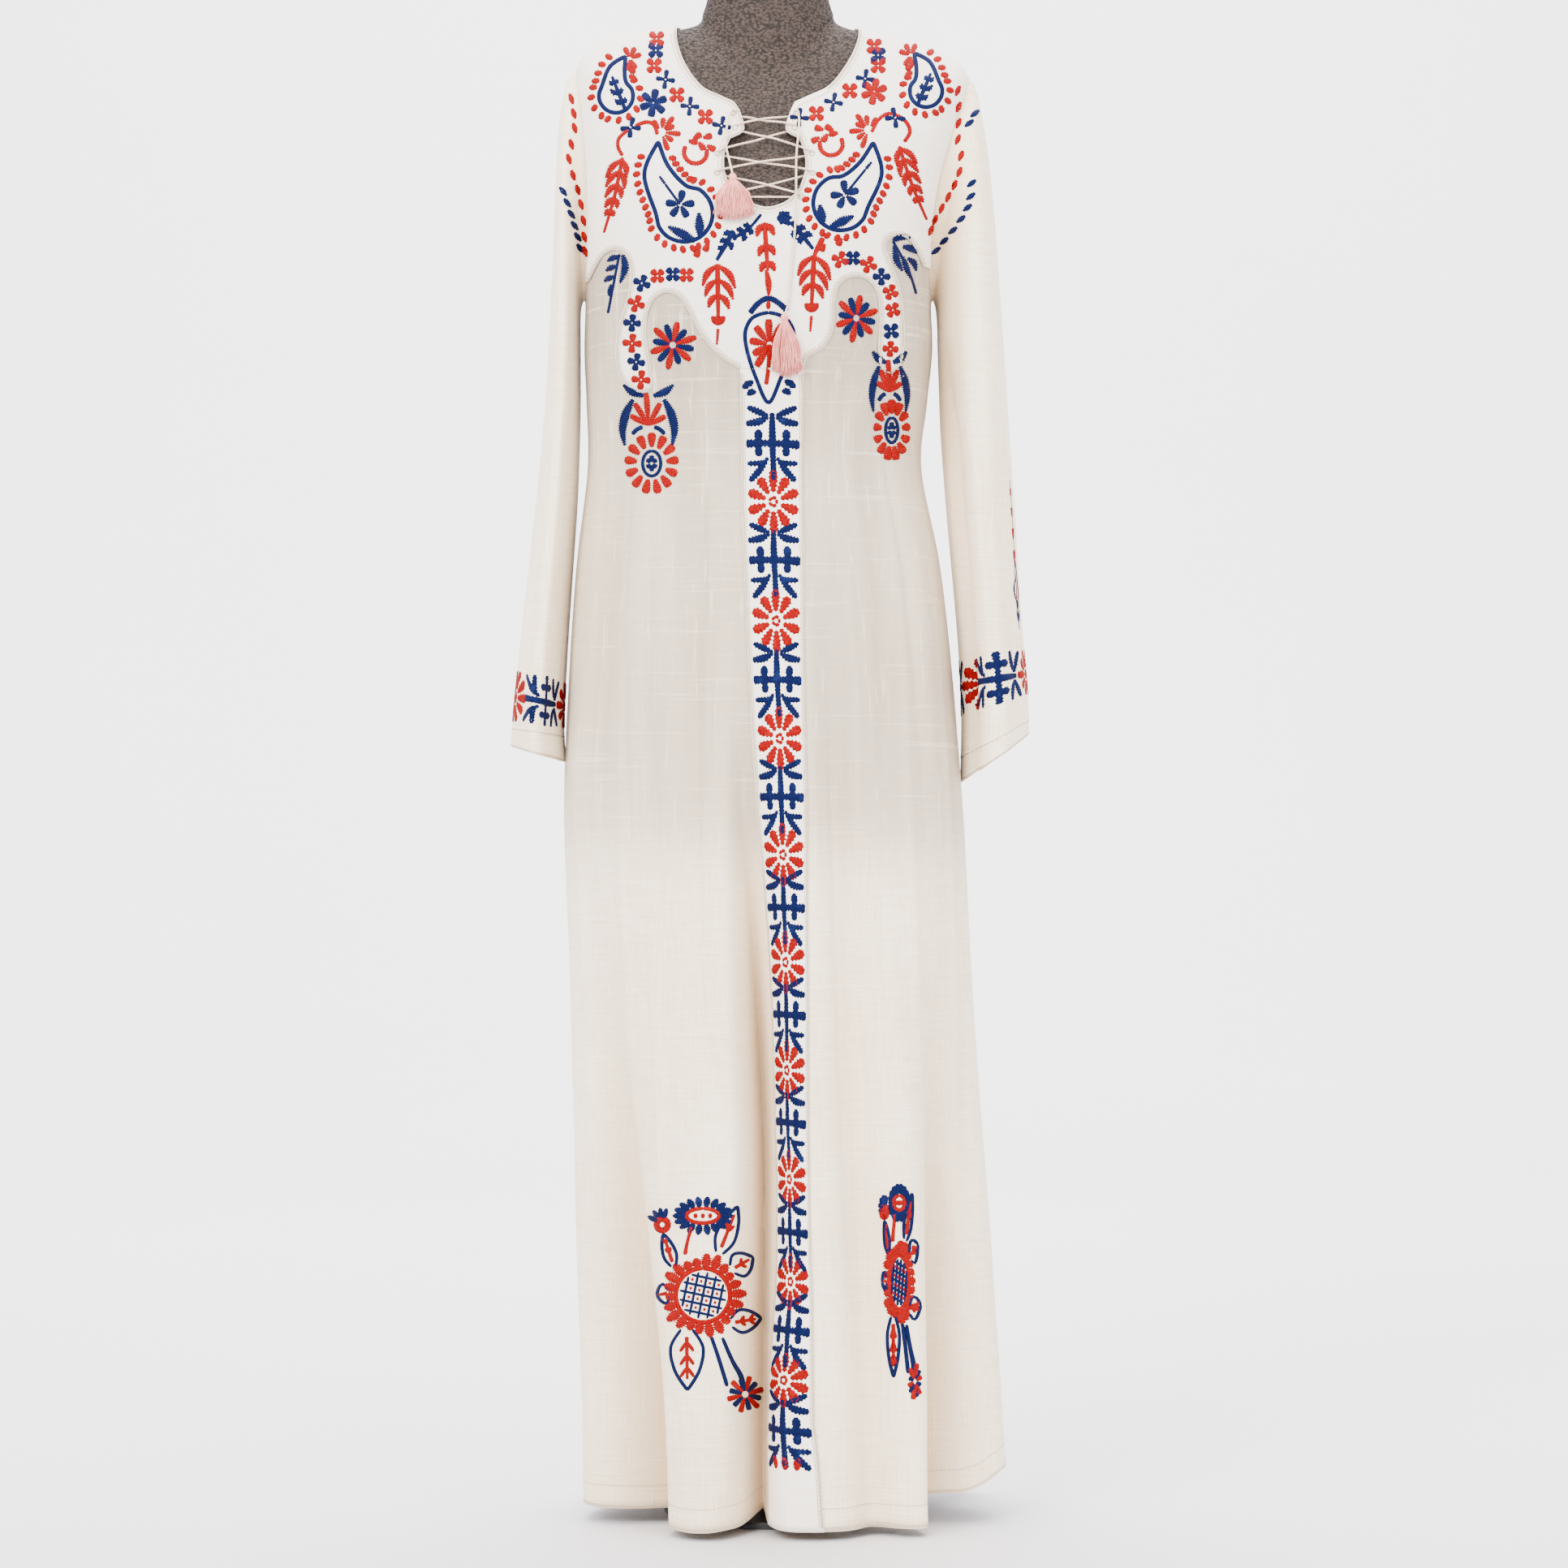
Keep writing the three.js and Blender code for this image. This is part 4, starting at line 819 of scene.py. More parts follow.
def sleeve(name, side, rows, folds):
    turns = np.linspace(0, 360, 144, endpoint=False)
    last = len(rows) - 1
    rings = np.concatenate([np.linspace(0, 2, 15)[:-1], np.linspace(2, last, 90)])
    turn, ring = np.meshgrid(turns, rings)
    inner = sleeve_point(side, rows, folds, turn, ring)
    outer = inner + sleeve_normal(side, rows, folds, turn, ring) * CLOTH
    edge_in, edge_out = armhole_edge(side, turns, 0), armhole_edge(side, turns, CLOTH)
    centre = edge_in.mean(axis=0)
    seam_in, seam_out = (e + unit_long(centre - e) * SEAM_GAP for e in (edge_in, edge_out))
    inner = np.concatenate([seam_in[None], inner])
    outer = np.concatenate([seam_out[None], outer])
    if side > 0:
        inner, outer = inner[::-1], outer[::-1]
    cloth = cloth_wall(name, outer, inner, closed=True)
    face_outwards(cloth)
    return cloth


front = front_panel()
back = back_panel()
yoke_piece = yoke()
band = centre_band()
left_sleeve = sleeve("sleeve_cloth_left", -1, LEFT_SLEEVE, LEFT_FOLDS)
right_sleeve = sleeve("sleeve_cloth_right", 1, RIGHT_SLEEVE, RIGHT_FOLDS)


# Dress form

# height, shift right, half width, reach to the front and back
FORM_SECTIONS = np.array([
    [634, -2, 127, 84, 80], [639, -2, 134, 91, 86], [688, -4, 143, 101, 98], [753, -6, 141, 101, 97],
    [838, -9, 130, 94, 88], [943, -12, 117, 86, 77], [1023, -12, 126, 97, 80], [1080, -11, 138, 112, 87],
], float)
# row of the garment and how far inside it the form lies at the front, side and back
FORM_EASE = [
    [11.3, 7, 18, 9], [12, 6.5, 16, 5], [13, 6.5, 13, 3], [14, 6.5, 10, 2.4], [15, 6, 7, 2.2],
    [16, 3.5, 2, 1.6], [17, 2.2, 0.9, 1], [18, 2.2, 0.9, 1],
]
# height at the front, side and back, half width, half depth
NECK_RINGS = [
    [1362, 1401, 1389, 60.5, 45], [1388, 1415, 1407, 56.5, 46], [1422, 1431, 1429, 55, 47],
    [1452, 1453, 1453, 54.5, 47], [1456, 1457, 1457, 52, 44.5],
]
NECK_SHIFT = -3


def form_rings(angles):
    s, c = np.sin(np.radians(angles)), np.cos(np.radians(angles))
    rings = []
    for z, shift, half, ahead, behind in FORM_SECTIONS:
        y = -np.where(c > 0, ahead, behind) * signed_power(c, 0.93)
        rings.append(np.stack([shift + half * signed_power(s, 0.93), y, np.full(s.shape, z)], axis=1))
    for row, ahead, side, behind in FORM_EASE:
        inwards = side + (np.where(c > 0, ahead, behind) - side) * c * c
        rings.append(body_point(angles, row, -inwards, False, False))
    for ahead, side, behind, half, deep in NECK_RINGS:
        z = side + (np.where(c > 0, ahead, behind) - side) * c * c
        rings.append(np.stack([NECK_SHIFT + half * s, -deep * c, z], axis=1))
    return np.array(rings)


def dress_form():
    """The torso with its neck, closed below and above."""
    angles = np.arange(0, 360, 2.5)
    rings = form_rings(angles)
    last = len(rings) - 1
    places = np.concatenate([np.arange(0, last - 1, 0.125), np.linspace(last - 1, last, 5)])
    skin = between(rings.reshape(len(rings), -1), places).reshape(len(places), -1, 3)
    rows, cols = skin.shape[:2]
    points = np.concatenate([skin.reshape(-1, 3), skin[:1].mean(axis=1), skin[-1:].mean(axis=1)])
    faces = [tuple(f) for f in sheet_faces(rows, cols, True)]
    foot, head, top = rows * cols, rows * cols + 1, (rows - 1) * cols
    for c in range(cols):
        d = (c + 1) % cols
        faces.append((foot, d, c))
        faces.append((head, top + c, top + d))
    return mesh_piece("form_cover", points, faces)


form = dress_form()


# Embroidery. Every motif is made of padded satin stitches along short paths.

EDGE_LIFT = 0.03  # how far a stitch's edges lie off the cloth
FULLNESS = 1.5  # the widths in the motifs are a flat stitch's, and padding widens it
ROW_HEIGHT, ROW_WIDTH = 0.3, 1.0


class Threads:
    """Gathers satin stitches of one colour into one piece."""

    def __init__(self, name):
        self.name, self.points, self.faces, self.uv, self.count = name, [], [], [], 0

    def stitch(self, place, path, widths, unit=1.0, height=0.55, ragged=0.0, tooth=2.1):
        """One raised stitch along a path of the pattern, with a width in millimetres at each point.

        place turns pattern points and a height into points on the cloth, and unit is the pattern's
        scale in millimetres."""
        path = np.asarray(path, float)
        widths = np.interp(np.linspace(0, 1, len(path)), np.linspace(0, 1, len(widths)), widths)
        fine = np.linspace(0, len(path) - 1, 12 * (len(path) - 1) + 1)
        line = between(np.column_stack([path, widths]), fine) if len(path) > 2 else np.column_stack(
            [np.interp(fine, [0, 1], path[:, k]) for k in (0, 1)] + [np.interp(fine, [0, 1], widths)]
        )
        along = run_of(line[:, :2]) * unit
        count = max(int(round(along[-1] / (tooth / 2 if ragged else 2.4))), 3)
        at = np.linspace(0, along[-1], count + 1)
        line = picked(line, along, at)
        tangent = np.gradient(line[:, :2], axis=0)
        tangent /= np.maximum(np.linalg.norm(tangent, axis=1, keepdims=True), 1e-9)
        side = np.stack([-tangent[:, 1], tangent[:, 0]], axis=1)
        half = np.maximum(line[:, 2] / 2 * FULLNESS, 0.3)
        if ragged:
            tooth_out = np.where(np.arange(count + 1) % 2 == 0, -1.0, 1.0) * ragged
            jitter = np.sin(np.arange(count + 1) * 2.399 + self.count) * 0.35 * ragged
            half = np.maximum(half + (tooth_out + jitter) * 1.25 * np.minimum(1, half / 1.6), 0.25)
        half[[0, -1]] *= 0.62
        half = half[:, None] / unit
        ridge = min(height, 0.3 + 0.18 * float(half.max()) * unit)
        columns = [
            place(line[:, :2] + side * half, EDGE_LIFT), place(line[:, :2] + side * half * 0.7, ridge),
            place(line[:, :2] - side * half * 0.7, ridge), place(line[:, :2] - side * half, EDGE_LIFT),
        ]
        grid = np.stack(columns, axis=1)
        if np.isnan(grid).any() or np.linalg.norm(np.diff(grid, axis=0), axis=2).max() > LONGEST_STEP:
            return
        start = sum(len(p) for p in self.points)
        self.points.append(grid.reshape(-1, 3))
        width = half[:, 0] * unit
        for i in range(count):
            for k in range(4):
                a, b = start + i * 4 + k, start + i * 4 + (k + 1) % 4
                self.faces.append((a, a + 4, b + 4, b))
                low, high = (-1, -0.55, 0.55, 1, 1.4)[k:k + 2]
                self.uv += [
                    (at[i], low * width[i]), (at[i + 1], low * width[i + 1]),
                    (at[i + 1], high * width[i + 1]), (at[i], high * width[i]),
                ]
        last = start + count * 4
        self.faces.append((start + 3, start + 2, start + 1, start)[::-1])
        self.faces.append((last, last + 1, last + 2, last + 3)[::-1])
        self.uv += [(0, 0)] * 8
        self.count += 1

    def row(self, place, starts, ends):
        """Many small stitches at once, each from its start to its end."""
        way = unit_long(ends - starts)
        side = np.stack([-way[:, 1], way[:, 0]], axis=1)[:, None] * ROW_WIDTH / 2
        lines = np.stack([starts, ends], axis=1)
        columns = [
            place((lines + side * s).reshape(-1, 2), lift)
            for s, lift in ((1, EDGE_LIFT), (0.6, ROW_HEIGHT), (-0.6, ROW_HEIGHT), (-1, EDGE_LIFT))
        ]
        grid = np.stack(columns, axis=1).reshape(len(starts), 8, 3)
        grid = grid[~np.isnan(grid).any(axis=(1, 2))]
        first = sum(len(p) for p in self.points)
        self.points.append(grid.reshape(-1, 3))
        shape = [(0, 4, 5, 1), (1, 5, 6, 2), (2, 6, 7, 3), (3, 7, 4, 0), (0, 1, 2, 3), (7, 6, 5, 4)]
        for k in range(len(grid)):
            self.faces += [tuple(first + k * 8 + i for i in face) for face in shape]
        self.uv += [(0, -1), (2, -1), (2, 1), (0, 1)] * (6 * len(grid))

    def piece(self):
        thread = mesh_piece(self.name, np.concatenate(self.points), self.faces)
        layer = thread.data.uv_layers.new(name="thread_mm")
        layer.data.foreach_set("uv", np.array(self.uv, np.float32).ravel())
        face_outwards(thread)
        return thread


# the sewing piece holds real stitch rows, and turned edges whose darker colour is painted shade
red, navy, sewing_and_edge_shade = Threads("red_embroidery"), Threads("navy_embroidery"), Threads("sewing_thread_and_edge_shade")


def cloth_tree(pieces):
    points, faces = [], []
    for piece in pieces:
        start = len(points)
        points += [v.co.copy() for v in piece.data.vertices]
        faces += [[start + i for i in f.vertices] for f in piece.data.polygons]
    return BVHTree.FromPolygons(points, faces)


cloth_seen = cloth_tree([front, yoke_piece, band, left_sleeve, right_sleeve])
MISSED = np.full(3, np.nan)
LONGEST_STEP = 9.0  # a stitch that bridges two folds of the cloth is left out
EYE = Vector((CAMERA_X, CAMERA_Y, CAMERA_Z)) * MM


def met(tree, start, ray, lift, farthest):
    """Where a line meets the cloth, raised by a lift. Past the farthest y is the back."""
    hit, normal, _, _ = tree.ray_cast(start, ray)
    if hit is None or hit.y > farthest:
        return MISSED
    if normal.dot(ray) > 0:
        normal = -normal
    return np.array(hit + normal * lift * MM) / MM


def on_cloth(points, lift):
    """Where the camera's lines of sight meet the cloth. A point counts pixels of the picture."""
    placed = []
    for u, v in points:
        ray = Vector(((u - PHOTO_SIZE / 2) / FOCAL_PIXELS, 1, (PHOTO_SIZE / 2 - v) / FOCAL_PIXELS))
        placed.append(met(cloth_seen, EYE, ray.normalized(), lift, -0.001))
    return np.array(placed)


PX = 0.7357  # millimetres to a pixel on the cloth's front


def petal(threads, base, tip, width, ragged=0.45, narrow=0.35, blunt=0.8):
    """A petal or leaf from its narrow base to a wider end."""
    base, tip = np.asarray(base, float), np.asarray(tip, float)
    path = [base + (tip - base) * t for t in (0, 0.35, 0.7, 1)]
    threads.stitch(on_cloth, path, [width * narrow, width * 0.8, width, width * blunt], PX, ragged=ragged)


def leaf(threads, points, width, ragged=0.45, place=on_cloth, unit=PX):
    """A leaf that is widest in its middle, along a bent line."""
    threads.stitch(place, points, [width * 0.45, width, width * 0.85, width * 0.3], unit, ragged=ragged)


def line(threads, points, width, ragged=0.0, place=on_cloth, unit=PX):
    threads.stitch(place, points, [width], unit, height=0.45, ragged=ragged)


def ring_of(count, start=0.0):
    return [start + 2 * math.pi * k / count for k in range(count)]


def around(centre, angle, reach, squash=1.0):
    return (centre[0] + math.sin(angle) * reach * squash, centre[1] - math.cos(angle) * reach)


def cross_flower(threads, centre, size=10, turn=45, width=4.2, petals=4):
    for a in ring_of(petals, math.radians(turn)):
        petal(threads, around(centre, a, 1.0), around(centre, a, size), width, 0.3, 0.55)


# Centre band

BAND_LEVELS = np.linspace(1.5, 1053.5, 300)
BAND_STEPS = 60
BAND_PX = 0.7315  # millimetres to a pixel on the band


def band_table():
    """For levels up the band, points across its face at even steps from its left to its right edge."""
    angles = np.linspace(-16, 22, 381)
    rows = np.linspace(0, ARMPIT_ROW, 700)
    middle = body_point(np.full(rows.shape, 5.0), rows, YOKE_OUTSIDE)
    places = np.interp(BAND_LEVELS, middle[:, 2], rows)
    left = np.interp(-BAND_LEVELS, -BAND_EDGES[:, 0], BAND_EDGES[:, 1])
    right = np.interp(-BAND_LEVELS, -BAND_EDGES[:, 0], BAND_EDGES[:, 2])
    lines = []
    grid = body_point(angles[None, :], places[:, None], YOKE_OUTSIDE)
    for points, low, high in zip(grid, left, right):
        inside = (points[:, 0] >= low) & (points[:, 0] <= high)
        first = last = int(np.argmin(np.abs(points[:, 0] - (0.35 * low + 0.65 * high))))
        while first > 0 and inside[first - 1]:
            first -= 1
        while last < len(angles) - 1 and inside[last + 1]:
            last += 1
        part = points[first:last + 1]
        along = run_of(part)
        lines.append(picked(part, along, np.linspace(0, along[-1], BAND_STEPS + 1)))
    return np.array(lines)


BAND_GRID = band_table()
BAND_WIDTH = 57.0


def on_band(points, lift):
    """Pattern points on the band: millimetres from its centre line, and height above the floor."""
    points = np.asarray(points, float)
    across = np.clip((points[:, 0] / BAND_WIDTH + 0.5) * BAND_STEPS, 0, BAND_STEPS)
    level = np.interp(points[:, 1], BAND_LEVELS, np.arange(len(BAND_LEVELS)))
    k = np.clip(level.astype(int), 0, len(BAND_LEVELS) - 2)
    j = np.clip(across.astype(int), 0, BAND_STEPS - 1)
    t, s = (level - k)[:, None], (across - j)[:, None]
    a, b, c, d = BAND_GRID[k, j], BAND_GRID[k, j + 1], BAND_GRID[k + 1, j], BAND_GRID[k + 1, j + 1]
    middle = (a * (1 - s) + b * s) * (1 - t) + (c * (1 - s) + d * s) * t
    return middle + unit_long(np.cross(b - a + d - c, c - a + d - b)) * lift


ROSETTE_WIDE, ROSETTE_TALL = 23.5, 28.5


def rosette(x, z, place, lying=False, tall=ROSETTE_TALL):
    """Ten red petals round a small ring of knots."""
    def at(angle, reach):
        dx, dz = math.sin(angle) * ROSETTE_WIDE * reach, math.cos(angle) * tall * reach
        return (x + dz, z + dx) if lying else (x + dx, z + dz)

    for k, a in enumerate(ring_of(10)):
        stretch = (1.0, 0.93, 1.02, 1.02, 0.93)[k % 5]
        path = [at(a, r) for r in (0.3, 0.52, 0.78, stretch)]
        widths = [2.1, 4.3, 6.2, 4.8] if k % 5 else [2.3, 4.5, 5.5, 4.3]
        red.stitch(place, path, widths, ragged=0.6, tooth=3.8)
    for a in ring_of(5, 0.3):
        red.stitch(place, [at(a, 0.07), at(a, 0.19)], [2.6, 3.2], height=0.5)


def tree(x, z, place, lying=False):
    """A navy stem with a bar, two crosses and pairs of leaves."""
    def at(dx, dz):
        return (x + dz, z + dx) if lying else (x + dx, z + dz)

    def sew(path, widths, ragged=0.5, tooth=3.2):
        navy.stitch(place, [at(*p) for p in path], widths, ragged=ragged, tooth=tooth)

    sew([(0, 28), (0, 6), (0.5, -14), (1, -33)], [3.2, 4.6, 3.8, 4.2], 0.3)
    sew([(-24, 0), (-12, 0.5), (0, 0.3), (12, 0), (25, -1)], [5.6, 4.6, 4.4, 4.6, 6.4])
    for s in (-1, 1):
        sew([(12.5 * s, 1.5), (12.8 * s, 8), (12.5 * s, 13)], [3, 5.4, 3], 0.25)
        sew([(12.8 * s, -1.5), (12.5 * s, -7), (12.8 * s, -11.5)], [3, 5.0, 3.4], 0.25)
        sew([(3.5 * s, 25), (12 * s, 28.5), (22.5 * s, 33)], [2.0, 4.4, 3.0])
        sew([(3.5 * s, 24.5), (12 * s, 20), (24 * s, 18)], [2.0, 5.0, 3.4])
        sew([(4.5 * s, -12), (8 * s, -17), (23 * s, -18)], [1.4, 3.6, 3.2])
        sew([(6 * s, -16), (12 * s, -24), (21 * s, -34)], [2.4, 4.4, 3.6])


def band_height(py):
    """Height on the band from a row of the picture's pixels."""
    return CAMERA_Z + (PHOTO_SIZE / 2 - py) * BAND_PX


for py in (617, 765, 910, 1053, 1185, 1318, 1452, 1577, 1698):
    rosette(0.5, band_height(py), on_band, tall=ROSETTE_TALL * (1 - max(0, py - 1100) / 4200))
for py in (545, 690, 838, 982, 1118, 1250, 1383, 1517, 1637, 1760):
    tree(0.0, band_height(py), on_band)
for dx in (-10, 0.5, 11):
    z = band_height(1799)
    red.stitch(on_band, [(dx * 1.1, z + 5), (dx, z), (dx * 0.9, z - 6)], [2.4, 4.6, 2.2], ragged=0.3)


# Yoke

for x, y, threads, turn in (
    (809, 48, red, 45), (808, 62, navy, 45), (806, 81, red, 45), (820, 98, navy, 8), (834, 117, red, 45),
    (850, 131, navy, 5), (869, 144, red, 45), (889, 155, navy, 12), (1077, 57, red, 45),
    (1082, 68, navy, 45), (1082, 81, red, 45), (1066, 97, navy, 8), (1047, 112, red, 45),
    (1027, 126, navy, 10), (1006, 140, red, 45), (985, 145, navy, 5),
):
    cross_flower(threads, (x, y), 12 if turn < 40 else 11, turn, 3.2 if turn < 40 else 4.5)
cross_flower(navy, (805, 127), 17.5, 10, 4.9, 6)
cross_flower(red, (1077, 113), 16.5, 10, 4.8, 6)


def towards(start, angle, reach):
    """A point at a distance from a start, the angle in degrees clockwise from straight up."""
    a = math.radians(angle)
    return start[0] + math.sin(a) * reach, start[1] - math.cos(a) * reach


def heading(start, end):
    return math.degrees(math.atan2(end[0] - start[0], start[1] - end[1]))


def sprig(threads, top, tip, pairs, spread=38, width=4.4, stem=2.4, place=on_cloth, unit=PX, bend=0.0):
    """A stem with pairs of leaves. Each pair has its share of the stem and its lengths."""
    top, tip = np.array(top, float), np.array(tip, float)
    along = tip - top
    aside = np.array([along[1], -along[0]]) * bend
    route = [top, top + along * 0.5 + aside, tip]
    threads.stitch(place, route, [stem, stem, stem * 0.7], unit, height=0.45, ragged=0.2)
    lean = heading(top, tip)
    for share, left, right in pairs:
        foot = top + along * share + aside * 4 * share * (1 - share)
        for side, reach in ((1, left), (-1, right)):
            if reach:
                first = towards(foot, lean + side * spread * 1.25, reach * 0.5)
                last = towards(first, lean + side * spread * 0.55, reach * 0.5)
                start = towards(foot, lean + side * spread, 1.5)
                leaf(threads, [start, first, last], width, 0.5, place, unit)


def star(centre, reach, squash=1.0):
    """Red and navy petals by turns."""
    for k, a in enumerate(ring_of(12, 0.2)):
        far = around(centre, a, reach * (1.0, 0.86, 1.06, 0.92)[k % 4], squash)
        petal((red, navy)[k % 2], around(centre, a, 4, squash), far, 4.4, 0.4, 0.5, 0.6)


def paisley_outline(centre, radius, tip, bend):
    """A drop with a round foot and a bent tip, its points in order from the tip and back."""
    centre, tip = np.array(centre, float), np.array(tip, float)
    reach = np.linalg.norm(tip - centre)
    up = (tip - centre) / reach
    side = np.array([-up[1], up[0]]) * (1 if bend < 0 else -1)
    bend = -abs(bend)
    points = [tip, centre + up * reach * 0.66 + side * (radius * 0.46 + bend)]
    for a in np.radians([68, 35, 0, -35, -70, -105, -140, -170, -200, -235]):
        if a > math.radians(-215):
            points.append(centre + radius * (side * math.cos(a) + up * math.sin(a)))
    points.append(centre + up * reach * 0.66 - side * (radius * 0.42 - bend))
    points.append(tip)
    return np.array(points)


DASH_AWAY, DASH_LENGTH = 5, 10
FIRST_DASH, LAST_DASH = 0.06, 0.94


def dashes_round(outline, count, slant):
    """Short red stitches in a row outside an outline, leaning away from its tip."""
    fine = between(outline, np.linspace(0, len(outline) - 1, 400))
    along = run_of(fine)
    middle = fine.mean(axis=0)
    for k in range(count):
        at = along[-1] * (FIRST_DASH + (LAST_DASH - FIRST_DASH) * (k + 0.5) / count)
        p, q = picked(fine, along, [at, min(at + 1.5, along[-1])])
        ahead = (q - p) / max(np.linalg.norm(q - p), 1e-6)
        out = np.array([ahead[1], -ahead[0]])
        if out @ (p - middle) < 0:
            out = -out
        s = math.radians(slant if k < count / 2 else -slant)
        way = (out * math.cos(s) + ahead * math.sin(s)) * DASH_LENGTH
        foot = p + out * DASH_AWAY
        red.stitch(
            on_cloth, [foot, foot + way * 0.55, foot + way], [2.4, 4.0, 2.0], PX, ragged=0.3, tooth=2.6
        )


def paisley(centre, radius, tip, bend, dashes, slant):
    outline = paisley_outline(centre, radius, tip, bend)
    line(navy, outline, 2.7)
    dashes_round(outline, dashes, slant)


# small paisleys on the shoulders, each with a sprig inside
paisley((759, 118), 21, (771, 69), -7, 17, 30)
sprig(navy, (770, 134), (754, 94), [(0.15, 9, 12), (0.45, 9, 13), (0.75, 7, 9)], 42, 4.0, 2.6)
paisley((1141, 112), 20, (1126, 65), 7, 17, 30)
sprig(navy, (1131, 128), (1147, 90), [(0.15, 12, 9), (0.45, 13, 9), (0.75, 9, 7)], 42, 4.0, 2.6)
for foot, turns in (((776, 72), (25, 70, 150, 185, -25)), ((1122, 68), (-25, -70, -150, -185, 25))):
    for turn in turns:
        petal(red, towards(foot, turn, 2), towards(foot, turn, 15), 3.6, 0.3, 0.4)

# large paisleys beside the slit
paisley((843, 263), 35, (811, 174), -15, 30, 28)
paisley((1036, 250), 34, (1076, 175), 13, 28, 28)
for heart, stem, turns, low in (
    ((838, 252), (819, 226), (10, 85, 150, 218, 278), ((863, 293, 861, 262), (857, 297, 823, 279))),
    ((1041, 240), (1067, 208), (-5, 70, 130, 205, 268), ((1023, 280, 1052, 266), (1014, 277, 1010, 252))),
):
    for turn in turns:
        petal(navy, towards(heart, turn, 2), towards(heart, turn, 18), 4.8, 0.35, 0.25)
    line(navy, [heart, stem], 1.8)
    leaf(navy, [stem, towards(stem, heading(heart, stem), 11)], 5.2)
    for x0, y0, x1, y1 in low:
        leaf(navy, [(x0, y0), ((x0 + x1) / 2, (y0 + y1) / 2), (x1, y1)], 6.6, 0.7)

# bursts at their tips, scrolls, and curved stems to the hanging sprigs
for heart, turns in (
    ((815, 163), (8, 38, 62, 95, 128, 160, -35)), ((1070, 160), (-8, -38, -62, -95, -128, -160, 35)),
):
    for k, turn in enumerate(turns):
        petal(red, towards(heart, turn, 5), towards(heart, turn, 18 + 6 * (k % 2)), 3.6, 0.35, 0.3)
for heart, side in (((857, 187), 1), ((1024, 177), -1)):
    turns = [-60, -105, -150, 165, 120, 75]
    line(red, [towards(heart, side * t, 14.5) for t in turns], 3.0, 0.35)
    for x, y, turn in ((-9, -13, 95), (-3, -16, 60), (9, -17, 75), (14, -8, 120), (4, -12, 145)):
        foot = (heart[0] + side * x, heart[1] + y)
        petal(red, foot, towards(foot, side * turn, 12), 4.4)
line(red, [(810, 166), (806, 154), (796, 150.5), (783, 155)], 2.6, 0.3)
line(red, [(774, 160), (763, 170), (761.5, 181), (767, 192)], 2.4, 0.3)
line(red, [(1074, 163), (1082, 148), (1094, 140), (1106, 142)], 2.4, 0.3)
line(red, [(1106, 142), (1117, 151), (1121, 163), (1114, 175)], 2.6, 0.3)
for heart, turns in (((777, 157), (15, 95, 185, 260)), ((1103, 145), (-15, -95, -185, -260))):
    for turn in turns:
        petal(navy, towards(heart, turn, 1), towards(heart, turn, 13), 3.4, 0.25, 0.5)
pairs = [(0.02, 32, 24), (0.17, 28, 24), (0.34, 24, 20), (0.52, 18, 15), (0.68, 12, 10)]
sprig(red, (767, 194), (744, 287), pairs, 30, 4.6, 2.4, bend=0.02)
pairs = [(0.02, 24, 30), (0.16, 24, 27), (0.33, 20, 24), (0.51, 15, 18), (0.67, 10, 12)]
sprig(red, (1108, 180), (1142, 271), pairs, 30, 4.6, 2.4, bend=-0.02)

# the middle of the yoke
sprig(red, (942, 274), (946, 334), [(0.02, 20, 20), (0.45, 18, 18), (0.8, 16, 16)], 38, 5.2, 3.0)
leaf(red, [(944, 332), (947, 350), (947, 365)], 4.6)
line(navy, [(924, 386), (934, 374), (946.5, 367.5), (959, 373), (970, 383)], 3.8, 0.45)
line(red, [(946.7, 371), (946.7, 381)], 3.0)
DROP = [
    (947, 385), (934, 388), (924, 395), (918, 411), (921, 434), (932, 467), (947, 496), (962, 466),
    (974, 436), (978, 411), (971, 395), (960, 388), (947, 385),
]
line(navy, DROP, 2.6, 0.25)
heart = (948, 424)
for turn, reach in (
    (-2, 31), (-38, 28), (-80, 25), (-122, 24), (34, 29), (78, 24), (120, 24), (-150, 32), (160, 30),
):
    petal(red, towards(heart, turn, 3), towards(heart, turn, reach), 5.0, 0.55, 0.4)
line(red, [heart, (947, 450), (944, 474)], 2.8, 0.3)
for foot, turn in (((924, 478), -1), ((971, 477), 1)):
    for way in (-75, -35, 10, 140, 185):
        petal(navy, towards(foot, way * -turn, 1.5), towards(foot, way * -turn, 10), 3.6, 0.35, 0.5)
sprig(navy, (904, 284), (883, 321), [(0.1, 12, 10), (0.35, 11, 13), (0.6, 8, 0)], 55, 4.4, 3.2)
sprig(navy, (926, 280), (905, 293), [(0.1, 10, 9), (0.5, 10, 12)], 60, 4.6, 3.0)
line(navy, [(938, 264), (929, 275), (921, 284)], 2.0, 0.2)
sprig(navy, (957, 269), (976, 268), [(0.25, 9, 10), (0.6, 12, 9)], 60, 4.4, 3.2)
sprig(navy, (975, 273), (1002, 307), [(0.25, 15, 12), (0.5, 12, 14)], 52, 4.8, 3.2)
for top, tip in (((884, 325), (885, 392)), ((1003, 314), (1000, 376))):
    sprig(red, top, tip, [(0.02, 33, 38), (0.28, 28, 33), (0.56, 21, 24)], 40, 5.0, 3.2)
    for turn in (-70, -25, 25, 70):
        petal(red, towards(tip, turn + 180, 0.5), towards(tip, turn + 180, 9), 5.2, 0.3, 0.5)
    leaf(red, [towards(tip, 181, 13), towards(tip, 183, 33)], 4.8)
sprig(red, (1014, 293), (1003, 315), [], 30, 4, 3.6)
for x, y in ((862, 307), (873, 300), (1016, 300), (1037, 293)):
    petal(red, (x, y), (x - 5, y + 10), 4.6, 0.4)

